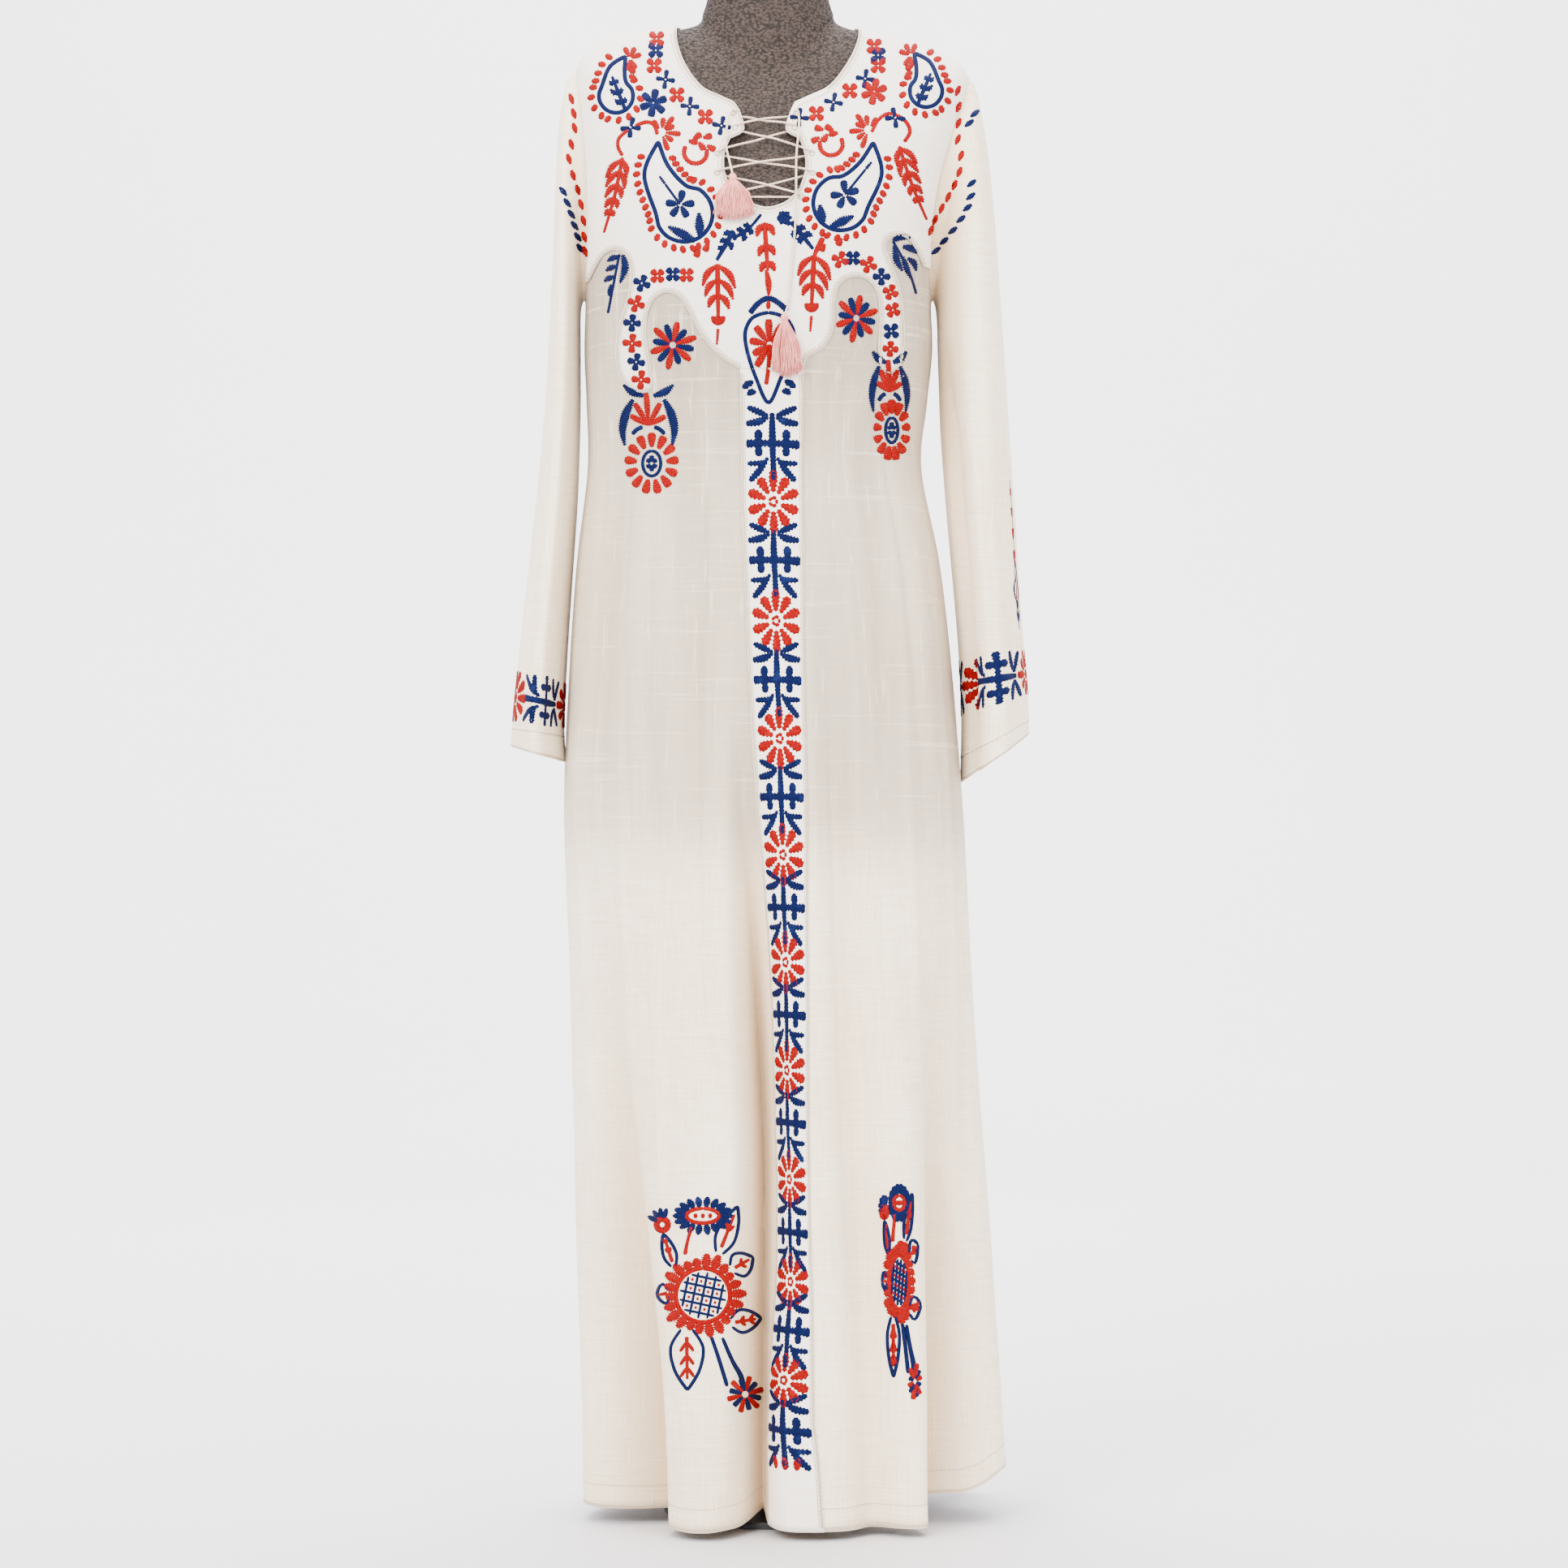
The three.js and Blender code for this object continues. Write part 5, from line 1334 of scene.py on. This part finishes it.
# chains of little flowers down the lobes
for x, y, threads, size, squash in (
    (846, 339, red, 10, 45), (829, 338, navy, 10, 45), (810, 340, red, 10, 45), (791, 349, navy, 11, 20),
    (784, 374, red, 11, 20), (779, 398, navy, 11, 5), (779, 423, red, 12, 5), (784, 446, navy, 11, 10),
    (790, 468, red, 12, 5), (1035, 320, red, 11, 20), (1051, 318, navy, 10, 45), (1070, 326, red, 11, 20),
    (1086, 341, navy, 11, 0), (1097, 360, red, 10, 20), (1100, 382, red, 10, 30), (1098, 408, navy, 11, 40),
    (1097, 430, red, 10, 5),
):
    cross_flower(threads, (x, y), size, squash, 4.5)

# below the lobes: a bracket, a fan and a rosette with a plain flower centre
for x, y, wide in ((799, 524, 1.0), (1096, 483, 0.68)):
    def at(dx, dy):
        return x + dx * wide, y + dy

    for s in (-1, 1):
        leaf(navy, [at(6 * s, -36), at(20 * s, -41), at(31 * s, -50)], 5.4, 0.6)
        bracket = [at(19 * s, -32), at(28 * s, -14), at(32 * s, 6), at(29 * s, 25)]
        leaf(navy, bracket, 5.6 * (0.5 + wide / 2), 0.6)
        line(navy, [at(7 * s, 2), at(14 * s, 5), at(20 * s, 11)], 2.8, 0.2)
    for turn, reach in ((-62, 25), (-32, 32), (-4, 40), (28, 31), (62, 24)):
        petal(red, at(0, 0), at(*towards((0, 0), turn, reach)), 3.9, 0.45, 0.3)
    centre = at(4, 47)
    for a in ring_of(13):
        petal(red, around(centre, a, 20, 0.9 * wide), around(centre, a, 38, 0.88 * wide), 5.4, 0.45, 0.45)
    oval = [around(centre, a, 15.5, 0.72 * wide) for a in ring_of(12)]
    line(navy, oval + oval[:1], 2.2, 0.2)
    for a in ring_of(6):
        petal(navy, around(centre, a, 2, 0.7 * wide), around(centre, a, 10, 0.72 * wide), 3.2, 0.2, 0.5)
star((829, 425), 29)
star((1055, 392), 29, squash=0.9)

# sprigs on the body cloth in the outer arches
line(navy, [(749, 386), (756, 350), (763, 313)], 1.8, 0.2)
for y in (318, 330, 343):
    down = y - 313
    leaf(navy, [(763 - down * 0.2, y - 2), (756 - down * 0.2, y), (749 - down * 0.15, y + 4)], 4.2)
leaf(navy, [(767, 314), (770, 330), (764, 349)], 5.2, 0.8)
leaf(navy, [(753, 350), (751, 360), (752, 366)], 3.4)
line(navy, [(1100, 297), (1112, 318), (1122, 340), (1129, 362)], 1.8, 0.2)
for width, ragged, *points in (
    (5.0, 0.6, (1100, 297), (1110, 292), (1122, 293)), (5.0, 0.7, (1102, 302), (1105, 320), (1112, 334)),
    (5.0, 0.6, (1112, 304), (1122, 306), (1130, 312)), (4.4, 0.6, (1112, 316), (1117, 330), (1122, 343)),
    (4.4, 0.6, (1118, 318), (1126, 324), (1129, 334)),
):
    leaf(navy, points, width, ragged)

# leaves along the armholes
RED_LEFT = [
    (700, 104), (704, 122), (707, 140), (708, 158), (704, 178), (701, 196), (706, 216), (712, 234),
    (716, 252), (719, 272), (720, 292), (721, 310),
]
RED_RIGHT = [
    (1180, 112), (1181, 132), (1181, 152), (1180, 172), (1184, 192), (1182, 212), (1176, 228),
    (1168, 243), (1160, 257), (1152, 271), (1147, 284),
]
NAVY_LEFT = [
    (688, 132), (693, 144), (690, 222), (694, 236), (699, 250), (704, 264), (708, 278), (712, 292),
    (715, 306),
]
NAVY_RIGHT = [
    (1201, 140), (1194, 152), (1197, 226), (1196, 242), (1192, 256), (1184, 270), (1174, 284),
    (1163, 297), (1153, 309),
]
for chain, threads, tilt in (
    (RED_LEFT, red, -18), (RED_RIGHT, red, 22), (NAVY_LEFT, navy, -38), (NAVY_RIGHT, navy, 52),
):
    for spot in chain:
        leaf(threads, [towards(spot, tilt, 7), spot, towards(spot, tilt + 180, 7)], 3.8, 0.3)


# Sunflowers on the skirt

def sunflower(at):
    """A lattice disc with red petals, veined leaves, a bud, a smaller flower and a long stem."""
    def sew(threads, points, widths, ragged=0.0):
        threads.stitch(on_cloth, [at(*p) for p in points], widths, PX, height=0.5, ragged=ragged)

    def bent(foot, end):
        return [foot, ((foot[0] + end[0]) / 2, (foot[1] + end[1]) / 2), end]

    disc = 31
    for a in ring_of(22, 0.1):
        far = 50 + 4 * math.sin(a * 5)
        foot, end = around((0, 0), a, disc + 3), around((0, 0), a, far)
        sew(red, bent(foot, end), [4.2, 6.4, 3.0], 0.7)
    ring = [around((0, 0), a, disc + 2) for a in ring_of(28)]
    sew(red, ring + ring[:1], [2.6])
    for tilt in (12, 102):
        for off in (-22, -11, 0, 11, 22):
            half = math.sqrt(29**2 - off**2)
            mid = towards((0, 0), tilt + 90, off)
            sew(navy, [towards(mid, tilt, half), mid, towards(mid, tilt + 180, half)], [1.7])
    for row in range(-3, 3):
        for col in range(-3, 3):
            spot = towards(towards((0, 0), 12, 11 * row + 5.5), 102, 11 * col + 5.5)
            if math.hypot(*spot) < 26:
                sew(red, [towards(spot, 0, 1.8), towards(spot, 180, 1.8)], [1.7])

    def veined_leaf(base, tip, wide, pairs):
        base, tip = np.array(base, float), np.array(tip, float)
        along = tip - base
        out = np.array([along[1], -along[0]]) / np.linalg.norm(along) * wide
        for o in (out, -out):
            edge = [base + o * 0.35, base + along * 0.3 + o, base + along * 0.68 + o * 0.75, tip]
            sew(navy, edge, [2.0, 2.2, 2.4])
        sew(red, [base + along * 0.12, base + along * 0.5, base + along * 0.82], [2.6, 2.2, 1.8], 0.15)
        for share in pairs:
            foot = base + along * share
            for s in (-1, 1):
                sew(red, [foot, foot + along * 0.16 + out * 0.42 * s], [2.2, 2.4])

    veined_leaf((-20, 42), (-19, 117), 20, (0.2, 0.42, 0.62))
    veined_leaf((35, 34), (72, 28), 14, (0.3, 0.6))
    veined_leaf((36, -32), (62, -47), 15, (0.4,))
    veined_leaf((20, -52), (43, -110), 12, (0.45,))
    veined_leaf((-42, -3), (-57, 0), 12, ())
    veined_leaf((-36, -36), (-49, -76), 8, (0.4, 0.7))
    for a in ring_of(18, 0.17):
        foot = (math.sin(a) * 22, -98 - math.cos(a) * 11)
        end = (math.sin(a) * 37, -98 - math.cos(a) * 24)
        sew(navy, bent(foot, end), [2.8, 4.6, 2.0], 0.3)
    oval = [(math.sin(a) * 20, -98 - math.cos(a) * 9) for a in ring_of(20)]
    sew(red, oval + oval[:1], [2.6])
    for dx in (-9, 0, 9):
        sew(red, [(dx, -101), (dx, -95)], [2.6])
    sew(red, [(-22, -50), (-19, -66), (-14, -84)], [2.8, 2.2, 2.4], 0.2)
    for turn in (-62, -34, -8, 16, -88):
        sew(navy, [towards((-50, -88), turn, reach) for reach in (7, 14, 20)], [2.6, 3.4, 2.0], 0.2)
    bud = [around((-50, -87), a, 7) for a in ring_of(10)]
    sew(red, bud + bud[:1], [4.0], 0.2)
    sew(navy, [(10, 50), (19, 76), (30, 112)], [2.4, 2.6, 2.8])
    sew(navy, [(24, 52), (36, 80), (47, 100), (51, 118)], [2.4, 2.8, 3.4, 3.0])
    for k, a in enumerate(ring_of(12, 0.25)):
        threads, far = (navy, 20) if k % 2 else (red, 23)
        foot, end = around((52, 122), a, 4), around((52, 122), a, far)
        sew(threads, bent(foot, end), [1.8, 3.2, 3.6], 0.2)


sunflower(lambda dx, dy: (866 + dx, 1596 + dy))
sunflower(lambda dx, dy: (1108 + dx * 0.37, 1580 + dy))


# Turned edges drawn as darker ridges of painted shade, and rows of stitching

edge_seen = cloth_tree([front, yoke_piece, band])


def on_face(points, lift):
    """Where lines straight from the front, at x and z in millimetres, meet the cloth."""
    ahead = Vector((0, 1, 0))
    return np.array([met(edge_seen, Vector((x * MM, -0.6, z * MM)), ahead, lift, 0) for x, z in points])


def inset(points, by):
    """A line moved to the right of its own direction."""
    points = np.asarray(points, float)
    way = np.gradient(points, axis=0)
    way /= np.maximum(np.linalg.norm(way, axis=1, keepdims=True), 1e-9)
    return points + np.stack([way[:, 1], -way[:, 0]], axis=1) * by


def sewn_row(points, place, pitch=3.4, length=2.3):
    """Small straight stitches one after another along a line."""
    points = np.asarray(points, float)
    along = run_of(points)
    at = np.arange(0.5, along[-1] - length, pitch)
    sewing_and_edge_shade.row(place, picked(points, along, at), picked(points, along, at + length))


def turned_edge(points, place, width=1.7):
    """A soft ridge where a cut edge is folded under, in the darker sewing colour as a painted shadow line
    along the edge.
    """
    points = np.asarray(points, float)
    for k in range(0, len(points) - 1, 12):
        part = points[k:k + 13]
        if len(part) > 1:
            sewing_and_edge_shade.stitch(place, part, [width], height=0.4)


yoke_edges = [rounded(YOKE_LEFT, 90), rounded(YOKE_RIGHT, 90)[::-1]]
for edge in yoke_edges:
    turned_edge(inset(edge, 1.6), on_face, 1.5)
    sewn_row(inset(edge, 3.9), on_face)
neck = neck_outline()
turned_edge(inset(neck, 1.8)[2:-2], on_face)
sewn_row(inset(neck, 5.2)[3:-3], on_face)
levels = np.linspace(12, 1050, 160)
for x in (-1, 1):
    turned_edge([(x * 27.3, z) for z in levels], on_band, 1.5)
    sewn_row([(x * 25.0, z) for z in levels], on_band)


def hem_map(up):
    """A map of the skirt's foot: millimetres round it, and height over a line above the hem."""
    angles, rows = np.linspace(-180, 180, 1441), np.linspace(0, 1.2, 25)
    grid = body_point(angles[None, :], rows[:, None], CLOTH)
    row = np.array([np.interp(grid[0, k, 2] + up, grid[:, k, 2], rows) for k in range(len(angles))])
    along = run_of(body_point(angles, row, CLOTH))
    rise = 0.1 / (body_point(0, 0.6, CLOTH)[2] - body_point(0, 0.5, CLOTH)[2])

    def on_hem(points, lift):
        points = np.asarray(points, float)
        angle = np.interp(points[:, 0], along, angles)
        level = np.interp(points[:, 0], along, row) + points[:, 1] * rise
        return body_point(angle, level, np.full(len(points), CLOTH + lift))

    return on_hem, along[-1]


on_hem, whole = hem_map(21)
sewn_row([(0, 0), (whole, 0)], on_hem, 3.8, 2.5)
on_hem, whole = hem_map(2.5)
turned_edge([(x, 0) for x in np.linspace(0, whole, 300)], on_hem, 1.8)


for z, left, right in EYELETS:
    for x in (left, right):
        ring = [(x + 2.6 * math.cos(a), z + 2.6 * math.sin(a)) for a in np.linspace(0, 2 * math.pi, 13)]
        turned_edge(ring, on_face, 1.3)


# Cuffs

def cuff_map(side, rows, folds, height):
    """A map of a sleeve: millimetres round it from its front to the viewer's right, and height."""
    last = len(rows) - 1
    mean = (rows[:, 1] + rows[:, 3]) / 2
    middle = float(np.interp(-height, -mean, np.arange(last + 1)))
    turns = np.linspace(-90, 270, 721)
    ring = sleeve_point(side, rows, folds, turns, np.full(turns.shape, middle))
    along = run_of(ring)
    whole = along[-1]
    along -= np.interp(90, turns, along)

    def on_sleeve(points, lift):
        points = np.asarray(points, float)
        round_it = points[:, 0] * -side
        turn = np.interp((round_it + whole / 2) % whole - whole / 2, along, turns)
        row = np.interp(-points[:, 1], -mean, np.arange(last + 1))
        normal = sleeve_normal(side, rows, folds, turn, row)
        return sleeve_point(side, rows, folds, turn, row) + normal * (CLOTH + lift)

    return on_sleeve, whole


REPEAT = 117  # a tree and a rosette, three times round the cuff

for side, rows, folds, height in ((-1, LEFT_SLEEVE, LEFT_FOLDS, 757), (1, RIGHT_SLEEVE, RIGHT_FOLDS, 776)):
    on_sleeve, whole = cuff_map(side, rows, folds, height)
    stretch = whole / 3 / REPEAT
    low = rows[-1, 1:4:2].mean()
    sewn_row([(-whole / 2, low + 21), (whole / 2, low + 21)], on_sleeve, 3.8, 2.5)
    turned_edge([(x, low + 2.5) for x in np.linspace(-whole / 2, whole / 2, 90)], on_sleeve, 1.8)

    def squeezed(points, lift):
        points = np.asarray(points, float)
        return on_sleeve(points * np.array([stretch, 1.0]), lift)

    for k in range(3):
        start = REPEAT * k + (16 if side < 0 else 0)
        tree(start, height, squeezed, lying=True)
        rosette(start + REPEAT / 2, height, squeezed, lying=True)
    if side > 0:
        edge = whole / 8

        def at_edge(points, lift):
            return on_sleeve(np.asarray(points, float) + np.array([edge, 0]), lift)

        pairs = [(0.06, 13, 13), (0.32, 12, 12), (0.58, 10, 10), (0.82, 8, 8)]
        sprig(red, (2, 872), (0, 946), pairs, 38, 3.2, 1.8, at_edge, 1.0)
        drop = paisley_outline((2, 852), 11, (1, 884), -3)
        line(navy, drop, 1.9, place=at_edge, unit=1.0)
        leaf(red, [(-2, 844), (4, 852), (1, 866)], 3.4, 0.4, at_edge, 1.0)
        sprig(navy, (2, 818), (2, 840), [(0.3, 13, 13), (0.75, 11, 11)], 42, 3.0, 1.8, at_edge, 1.0)


red_piece, navy_piece, sewing_and_edge_shade_piece = red.piece(), navy.piece(), sewing_and_edge_shade.piece()


# Finishes

class Number:
    """A shader socket with one number. Python's operators on it add Math nodes."""

    def __init__(self, finish, socket):
        self.finish, self.socket = finish, socket

    def maths(self, operation, *values):
        return self.finish.node("Math", {"operation": operation}, dict(enumerate(values)))

    def __add__(self, other):
        return self.maths("ADD", self, other)

    def __sub__(self, other):
        return self.maths("SUBTRACT", self, other)

    def __rsub__(self, other):
        return self.maths("SUBTRACT", other, self)

    def __mul__(self, other):
        return self.maths("MULTIPLY", self, other)

    def limited(self, low, high):
        return self.maths("MAXIMUM", self.maths("MINIMUM", self, high), low)

    __radd__, __rmul__ = __add__, __mul__


class Finish:
    """A procedural material for one of the dress's cloths, threads or hard parts."""

    def __init__(self, name, roughness, **fixed):
        self.material = bpy.data.materials.new(name)
        self.material.use_nodes = True
        self.tree = self.material.node_tree
        self.shader = self.tree.nodes["Principled BSDF"]
        self.shader.inputs["Roughness"].default_value = roughness
        for socket, value in fixed.items():
            self.shader.inputs[socket.replace("_", " ")].default_value = value

    def node(self, kind, settings=None, values=None, output=0):
        made = self.tree.nodes.new("ShaderNode" + kind)
        for key, value in (settings or {}).items():
            if key == "stops":
                ramp = made.color_ramp
                while len(ramp.elements) < len(value):
                    ramp.elements.new(0.5)
                for element, (place, colour) in zip(ramp.elements, value):
                    element.position, element.color = place, colour
            else:
                setattr(made, key, value)
        for key, value in (values or {}).items():
            if isinstance(value, Number):
                self.tree.links.new(value.socket, made.inputs[key])
            else:
                made.inputs[key].default_value = value
        return Number(self, made.outputs[output])

    def place(self, stretch=(1, 1, 1), layer=None):
        """Where a point lies on the object, or in its own UV map, stretched."""
        if layer:
            at = self.node("UVMap", {"uv_map": layer})
        else:
            at = self.node("TexCoord", output="Object")
        return self.node("Mapping", {}, {"Vector": at, "Scale": stretch})

    def noise(self, stretch, detail=2.0, layer=None):
        at = self.place(stretch, layer)
        return self.node("TexNoise", {}, {"Vector": at, "Scale": 1.0, "Detail": detail})

    def mask(self, value, low, high):
        limits = {"Value": value, "From Min": low, "From Max": high}
        return self.node("MapRange", {"interpolation_type": "SMOOTHSTEP"}, limits)

    def blend(self, share, first, second):
        """A colour between two, by a share."""
        return self.node("Mix", {"data_type": "RGBA"}, {"Factor": share, 6: first, 7: second}, output=2)

    def given(self, name):
        return self.node("Attribute", {"attribute_name": name}, output="Fac")

    def colour(self, value):
        self.set("Base Color", value)

    def set(self, socket, value):
        if isinstance(value, Number):
            self.tree.links.new(value.socket, self.shader.inputs[socket])
        else:
            self.shader.inputs[socket].default_value = value

    def relief(self, height, distance):
        self.set("Normal", self.node("Bump", {}, {"Height": height, "Distance": distance, "Strength": 1.0}))


def paint(red_part, green_part, blue_part):
    """A colour from its 0 to 255 screen values."""
    def linear(value):
        value /= 255
        return value / 12.92 if value <= 0.04045 else ((value + 0.055) / 1.055) ** 2.4

    return (linear(red_part), linear(green_part), linear(blue_part), 1.0)


def cotton(name, pale, deep, shadow, thin, slub_height):
    """Hand-woven cotton: uneven threads with slubs, greyer where it is thin over the form, and with painted
    shade where it lies in folds.
    """
    finish = Finish(name, 0.9, Specular_IOR_Level=0.2, Sheen_Weight=0.15, Sheen_Roughness=0.5)
    warp = finish.noise((760, 760, 26), 2.0)
    weft = finish.noise((30, 30, 640), 2.0)
    coarse_warp = finish.noise((230, 230, 7), 3.0)
    coarse_weft = finish.noise((9, 9, 260), 3.0)
    cloudy = finish.noise((9, 9, 6), 3.0)
    slubs = finish.mask(coarse_weft, 0.56, 0.72) * 0.5 + finish.mask(coarse_warp, 0.58, 0.74) * 0.6
    threads = warp * 0.5 + weft * 0.5
    tone = finish.mask(threads * 0.7 + cloudy * 0.3, 0.34, 0.66)
    colour = finish.blend(tone, deep, pale)
    # painted shade: deep folds and the sleeves' inner sides turn towards the shadow colour
    colour = finish.blend(finish.given("hollow").limited(0, 1), colour, shadow)
    streaks = finish.noise((55, 55, 1.3), 3.0)
    gauze = finish.given("backing") * (0.5 + threads * 0.4 + streaks * 0.55 - slubs * 0.4) * thin
    colour = finish.blend(gauze.limited(0, 1), colour, paint(132, 120, 106))
    colour = finish.blend((slubs * 0.3).limited(0, 0.5), colour, pale)
    finish.colour(colour)
    finish.relief(threads * 0.7 + slubs * 0.8, slub_height)
    return finish.material


def thread_finish(name, main, dark, pale):
    """Padded satin stitch: strands lie across each motif, with worn and shaded ones among them."""
    finish = Finish(name, 0.65, Specular_IOR_Level=0.06)
    at = finish.place((1, 1, 1), layer="thread_mm")
    strands = finish.noise((2.6, 0.35, 1), 1.0, "thread_mm")
    worn = finish.noise((90, 90, 90), 3.0)
    colour = finish.blend(finish.mask(strands, 0.36, 0.62), dark, main)
    colour = finish.blend(finish.mask(worn, 0.58, 0.75) * 0.35, colour, pale)
    finish.colour(colour)
    rows = finish.node("TexWave", {"wave_type": "BANDS", "bands_direction": "X"}, {
        "Vector": at, "Scale": 0.55, "Distortion": 0.8, "Detail": 1.0,
    }, output="Fac")
    finish.relief(rows * 0.6 + strands * 0.5, 0.00025)
    return finish.material


def cord_finish(name, main, dark):
    finish = Finish(name, 0.7, Specular_IOR_Level=0.3)
    fibres = finish.noise((2600, 2600, 900), 2.0)
    cloudy = finish.noise((160, 160, 90), 2.0)
    finish.colour(finish.blend(finish.mask(fibres * 0.6 + cloudy * 0.4, 0.35, 0.65), dark, main))
    finish.relief(fibres, 0.00015)
    return finish.material


def form_finish():
    """The form's brown cover, crimped in close rows of little wrinkles, painted darker in the crevices
    between them as shade and lighter on their tops as highlight.
    """
    finish = Finish("form_cover_cloth", 0.75, Specular_IOR_Level=0.3)
    place = finish.place()
    drift = finish.node("TexNoise", {}, {"Vector": place, "Scale": 120.0, "Detail": 2.0}, output="Color")
    warped = finish.node(
        "VectorMath", {"operation": "MULTIPLY_ADD"}, {0: drift, 1: (0.0016, 0.0016, 0.0016), 2: place}
    )
    cells = finish.node("TexVoronoi", {"feature": "SMOOTH_F1"}, {
        "Vector": finish.node("Mapping", {}, {"Vector": warped, "Scale": (360, 360, 520)}), "Scale": 1.0,
        "Smoothness": 0.6,
    })
    broad = finish.noise((40, 40, 90), 3.0)
    crevice_shade_mask = finish.mask(cells, 0.15, 0.75)
    # painted shade in the crevices and painted highlight on the tops of the wrinkles; the same mask makes the
    # crevices rougher
    colour = finish.blend(crevice_shade_mask, paint(60, 46, 37), paint(22, 16, 13))
    colour = finish.blend(finish.mask(broad, 0.35, 0.7) * 0.4, colour, paint(42, 33, 27))
    finish.colour(colour)
    finish.set("Roughness", 0.62 + crevice_shade_mask * 0.25)
    finish.relief((1 - cells) * 0.8 + broad * 0.3, 0.0012)
    return finish.material


def steel_finish():
    finish = Finish("stand_black_steel", 0.45, Metallic=0.0, Specular_IOR_Level=0.45)
    speckle = finish.noise((600, 600, 600), 2.0)
    scuffs = finish.noise((60, 60, 25), 4.0)
    finish.colour(finish.blend(finish.mask(scuffs, 0.5, 0.75) * 0.5, paint(34, 34, 36), paint(72, 70, 68)))
    finish.set("Roughness", 0.38 + scuffs * 0.2)
    finish.relief(speckle, 0.0001)
    return finish.material


def floor_finish():
    finish = Finish("studio_paper", 0.85, Specular_IOR_Level=0.2)
    cloudy = finish.noise((1.2, 1.2, 1.2), 2.0)
    finish.colour(finish.blend(cloudy, paint(236, 235, 238), paint(242, 241, 243)))
    return finish.material


# the third colour of each cotton is the painted shade colour for its folds
body_cotton = cotton(
    "body_cotton_gauze", paint(248, 232, 205), paint(230, 208, 176), paint(206, 174, 132), 0.95, 0.0006
)
yoke_cotton = cotton(
    "yoke_cotton_plain", paint(248, 240, 228), paint(238, 226, 210), paint(226, 206, 180), 0.14, 0.0003
)
finishes = {
    red_piece: thread_finish("red_thread", paint(150, 2, 2), paint(96, 1, 2), paint(176, 26, 18)),
    navy_piece: thread_finish("navy_thread", paint(9, 20, 66), paint(4, 9, 38), paint(30, 46, 96)),
    # darker than the cloth: real thread in the stitch rows, painted shade on the turned edges
    sewing_and_edge_shade_piece: thread_finish(
        "sewing_cotton_and_edge_shade", paint(214, 196, 172), paint(170, 150, 126), paint(236, 224, 206)
    ),
    front: body_cotton, back: body_cotton, left_sleeve: body_cotton, right_sleeve: body_cotton,
    yoke_piece: yoke_cotton, band: yoke_cotton, form: form_finish(), floor: floor_finish(),
}
lace_thread = cord_finish("lace_cotton_cord", paint(234, 208, 188), paint(194, 162, 140))
tassel_thread = cord_finish("tassel_pink_thread", paint(238, 160, 150), paint(204, 108, 98))
for piece in (lacing, left_end, right_end):
    finishes[piece] = lace_thread
for piece in tassels:
    finishes[piece] = tassel_thread
for piece, material in finishes.items():
    piece.data.materials.clear()
    piece.data.materials.append(material)
stand_steel = steel_finish()
for name in ("pole", "base"):
    for slot in nodes[name].material_slots:
        slot.material = stand_steel


# What the cloth shows of what lies behind it, and painted shade in its folds

# how far away the form stops showing through, the deepest fold, and how dark the painted shade in a fold gets
SHOWS_FROM, DEEPEST, PAINTED_SHADE_DARKEST = 60, 52, 0.75


def spots_of(piece):
    spots = np.empty(len(piece.data.vertices) * 3, np.float32)
    piece.data.vertices.foreach_get("co", spots)
    return spots.reshape(-1, 3).astype(float) / MM


def store(piece, name, values):
    layer = piece.data.attributes.new(name, "FLOAT", "POINT")
    layer.data.foreach_set("value", values.astype(np.float32))


def shade_cloth(piece, thick):
    """Stores how near the form lies behind the cloth, and painted shade by how deep in a fold it is."""
    spots = spots_of(piece)
    away = np.array([form_tree.find_nearest(Vector(p * MM))[3] for p in spots]) / MM
    backing = np.exp(-np.maximum(away - 5, 0) / SHOWS_FROM) * smooth(560, 660, spots[:, 2]) * thick
    rows = np.interp(spots[:, 2], RINGS[:12, 0], np.arange(12))
    r = between(RINGS, rows)
    across = signed_power((spots[:, 0] - r[:, 4]) / r[:, 5], r[:, 8] / 2)
    ahead = signed_power(-spots[:, 1] / np.where(spots[:, 1] < 0, r[:, 6], r[:, 7]), r[:, 8] / 2)
    angle = np.degrees(np.arctan2(across, ahead))
    hollow = np.clip(-fold_depth(angle, spots[:, 2], True) / DEEPEST, 0, 1)
    store(piece, "backing", backing)
    # painted shade: darker the deeper the fold, fading out above the waist
    store(piece, "hollow", hollow * smooth(1080, 980, spots[:, 2]) * PAINTED_SHADE_DARKEST)


form_tree = cloth_tree([form])
for sleeve_piece in (left_sleeve, right_sleeve):
    # painted shade on each sleeve's inner side next to the body, from about the elbow up to below the armhole
    spots = spots_of(sleeve_piece)
    level = spots[:, 2]
    shaded = np.clip((188 - np.abs(spots[:, 0])) / 26, 0, 1) * smooth(760, 1060, level)
    store(sleeve_piece, "hollow", shaded * smooth(1330, 1180, level) * PAINTED_SHADE_DARKEST)
for piece, thick in ((front, 1), (back, 1), (yoke_piece, 1), (band, 0.6)):
    shade_cloth(piece, thick)


# Bodies, and a table of each cloth piece's slot and flat size

cloth_pieces = {
    front: ("front_panel", "body_cotton", (0.64, 1.40), 0.76),
    back: ("back_panel", "body_cotton", (0.62, 1.40), 0.73),
    yoke_piece: ("yoke", "yoke_cotton", (0.42, 0.37), 0.10),
    band: ("centre_band", "yoke_cotton", (0.06, 1.06), 0.06),
    left_sleeve: ("sleeve_left", "body_cotton", (0.48, 0.65), 0.17),
    right_sleeve: ("sleeve_right", "body_cotton", (0.48, 0.67), 0.19),
}
for piece, (node, slot, flat, area) in cloth_pieces.items():
    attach(piece, "root")
    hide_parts(node)
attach(form, "root")
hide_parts("form_torso")
for piece in (red_piece, navy_piece, sewing_and_edge_shade_piece):
    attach(piece, "root")
for piece, (node, slot, flat, area) in cloth_pieces.items():
    rests = ["form_cover"] if piece in (front, back) else ["front_cloth"]
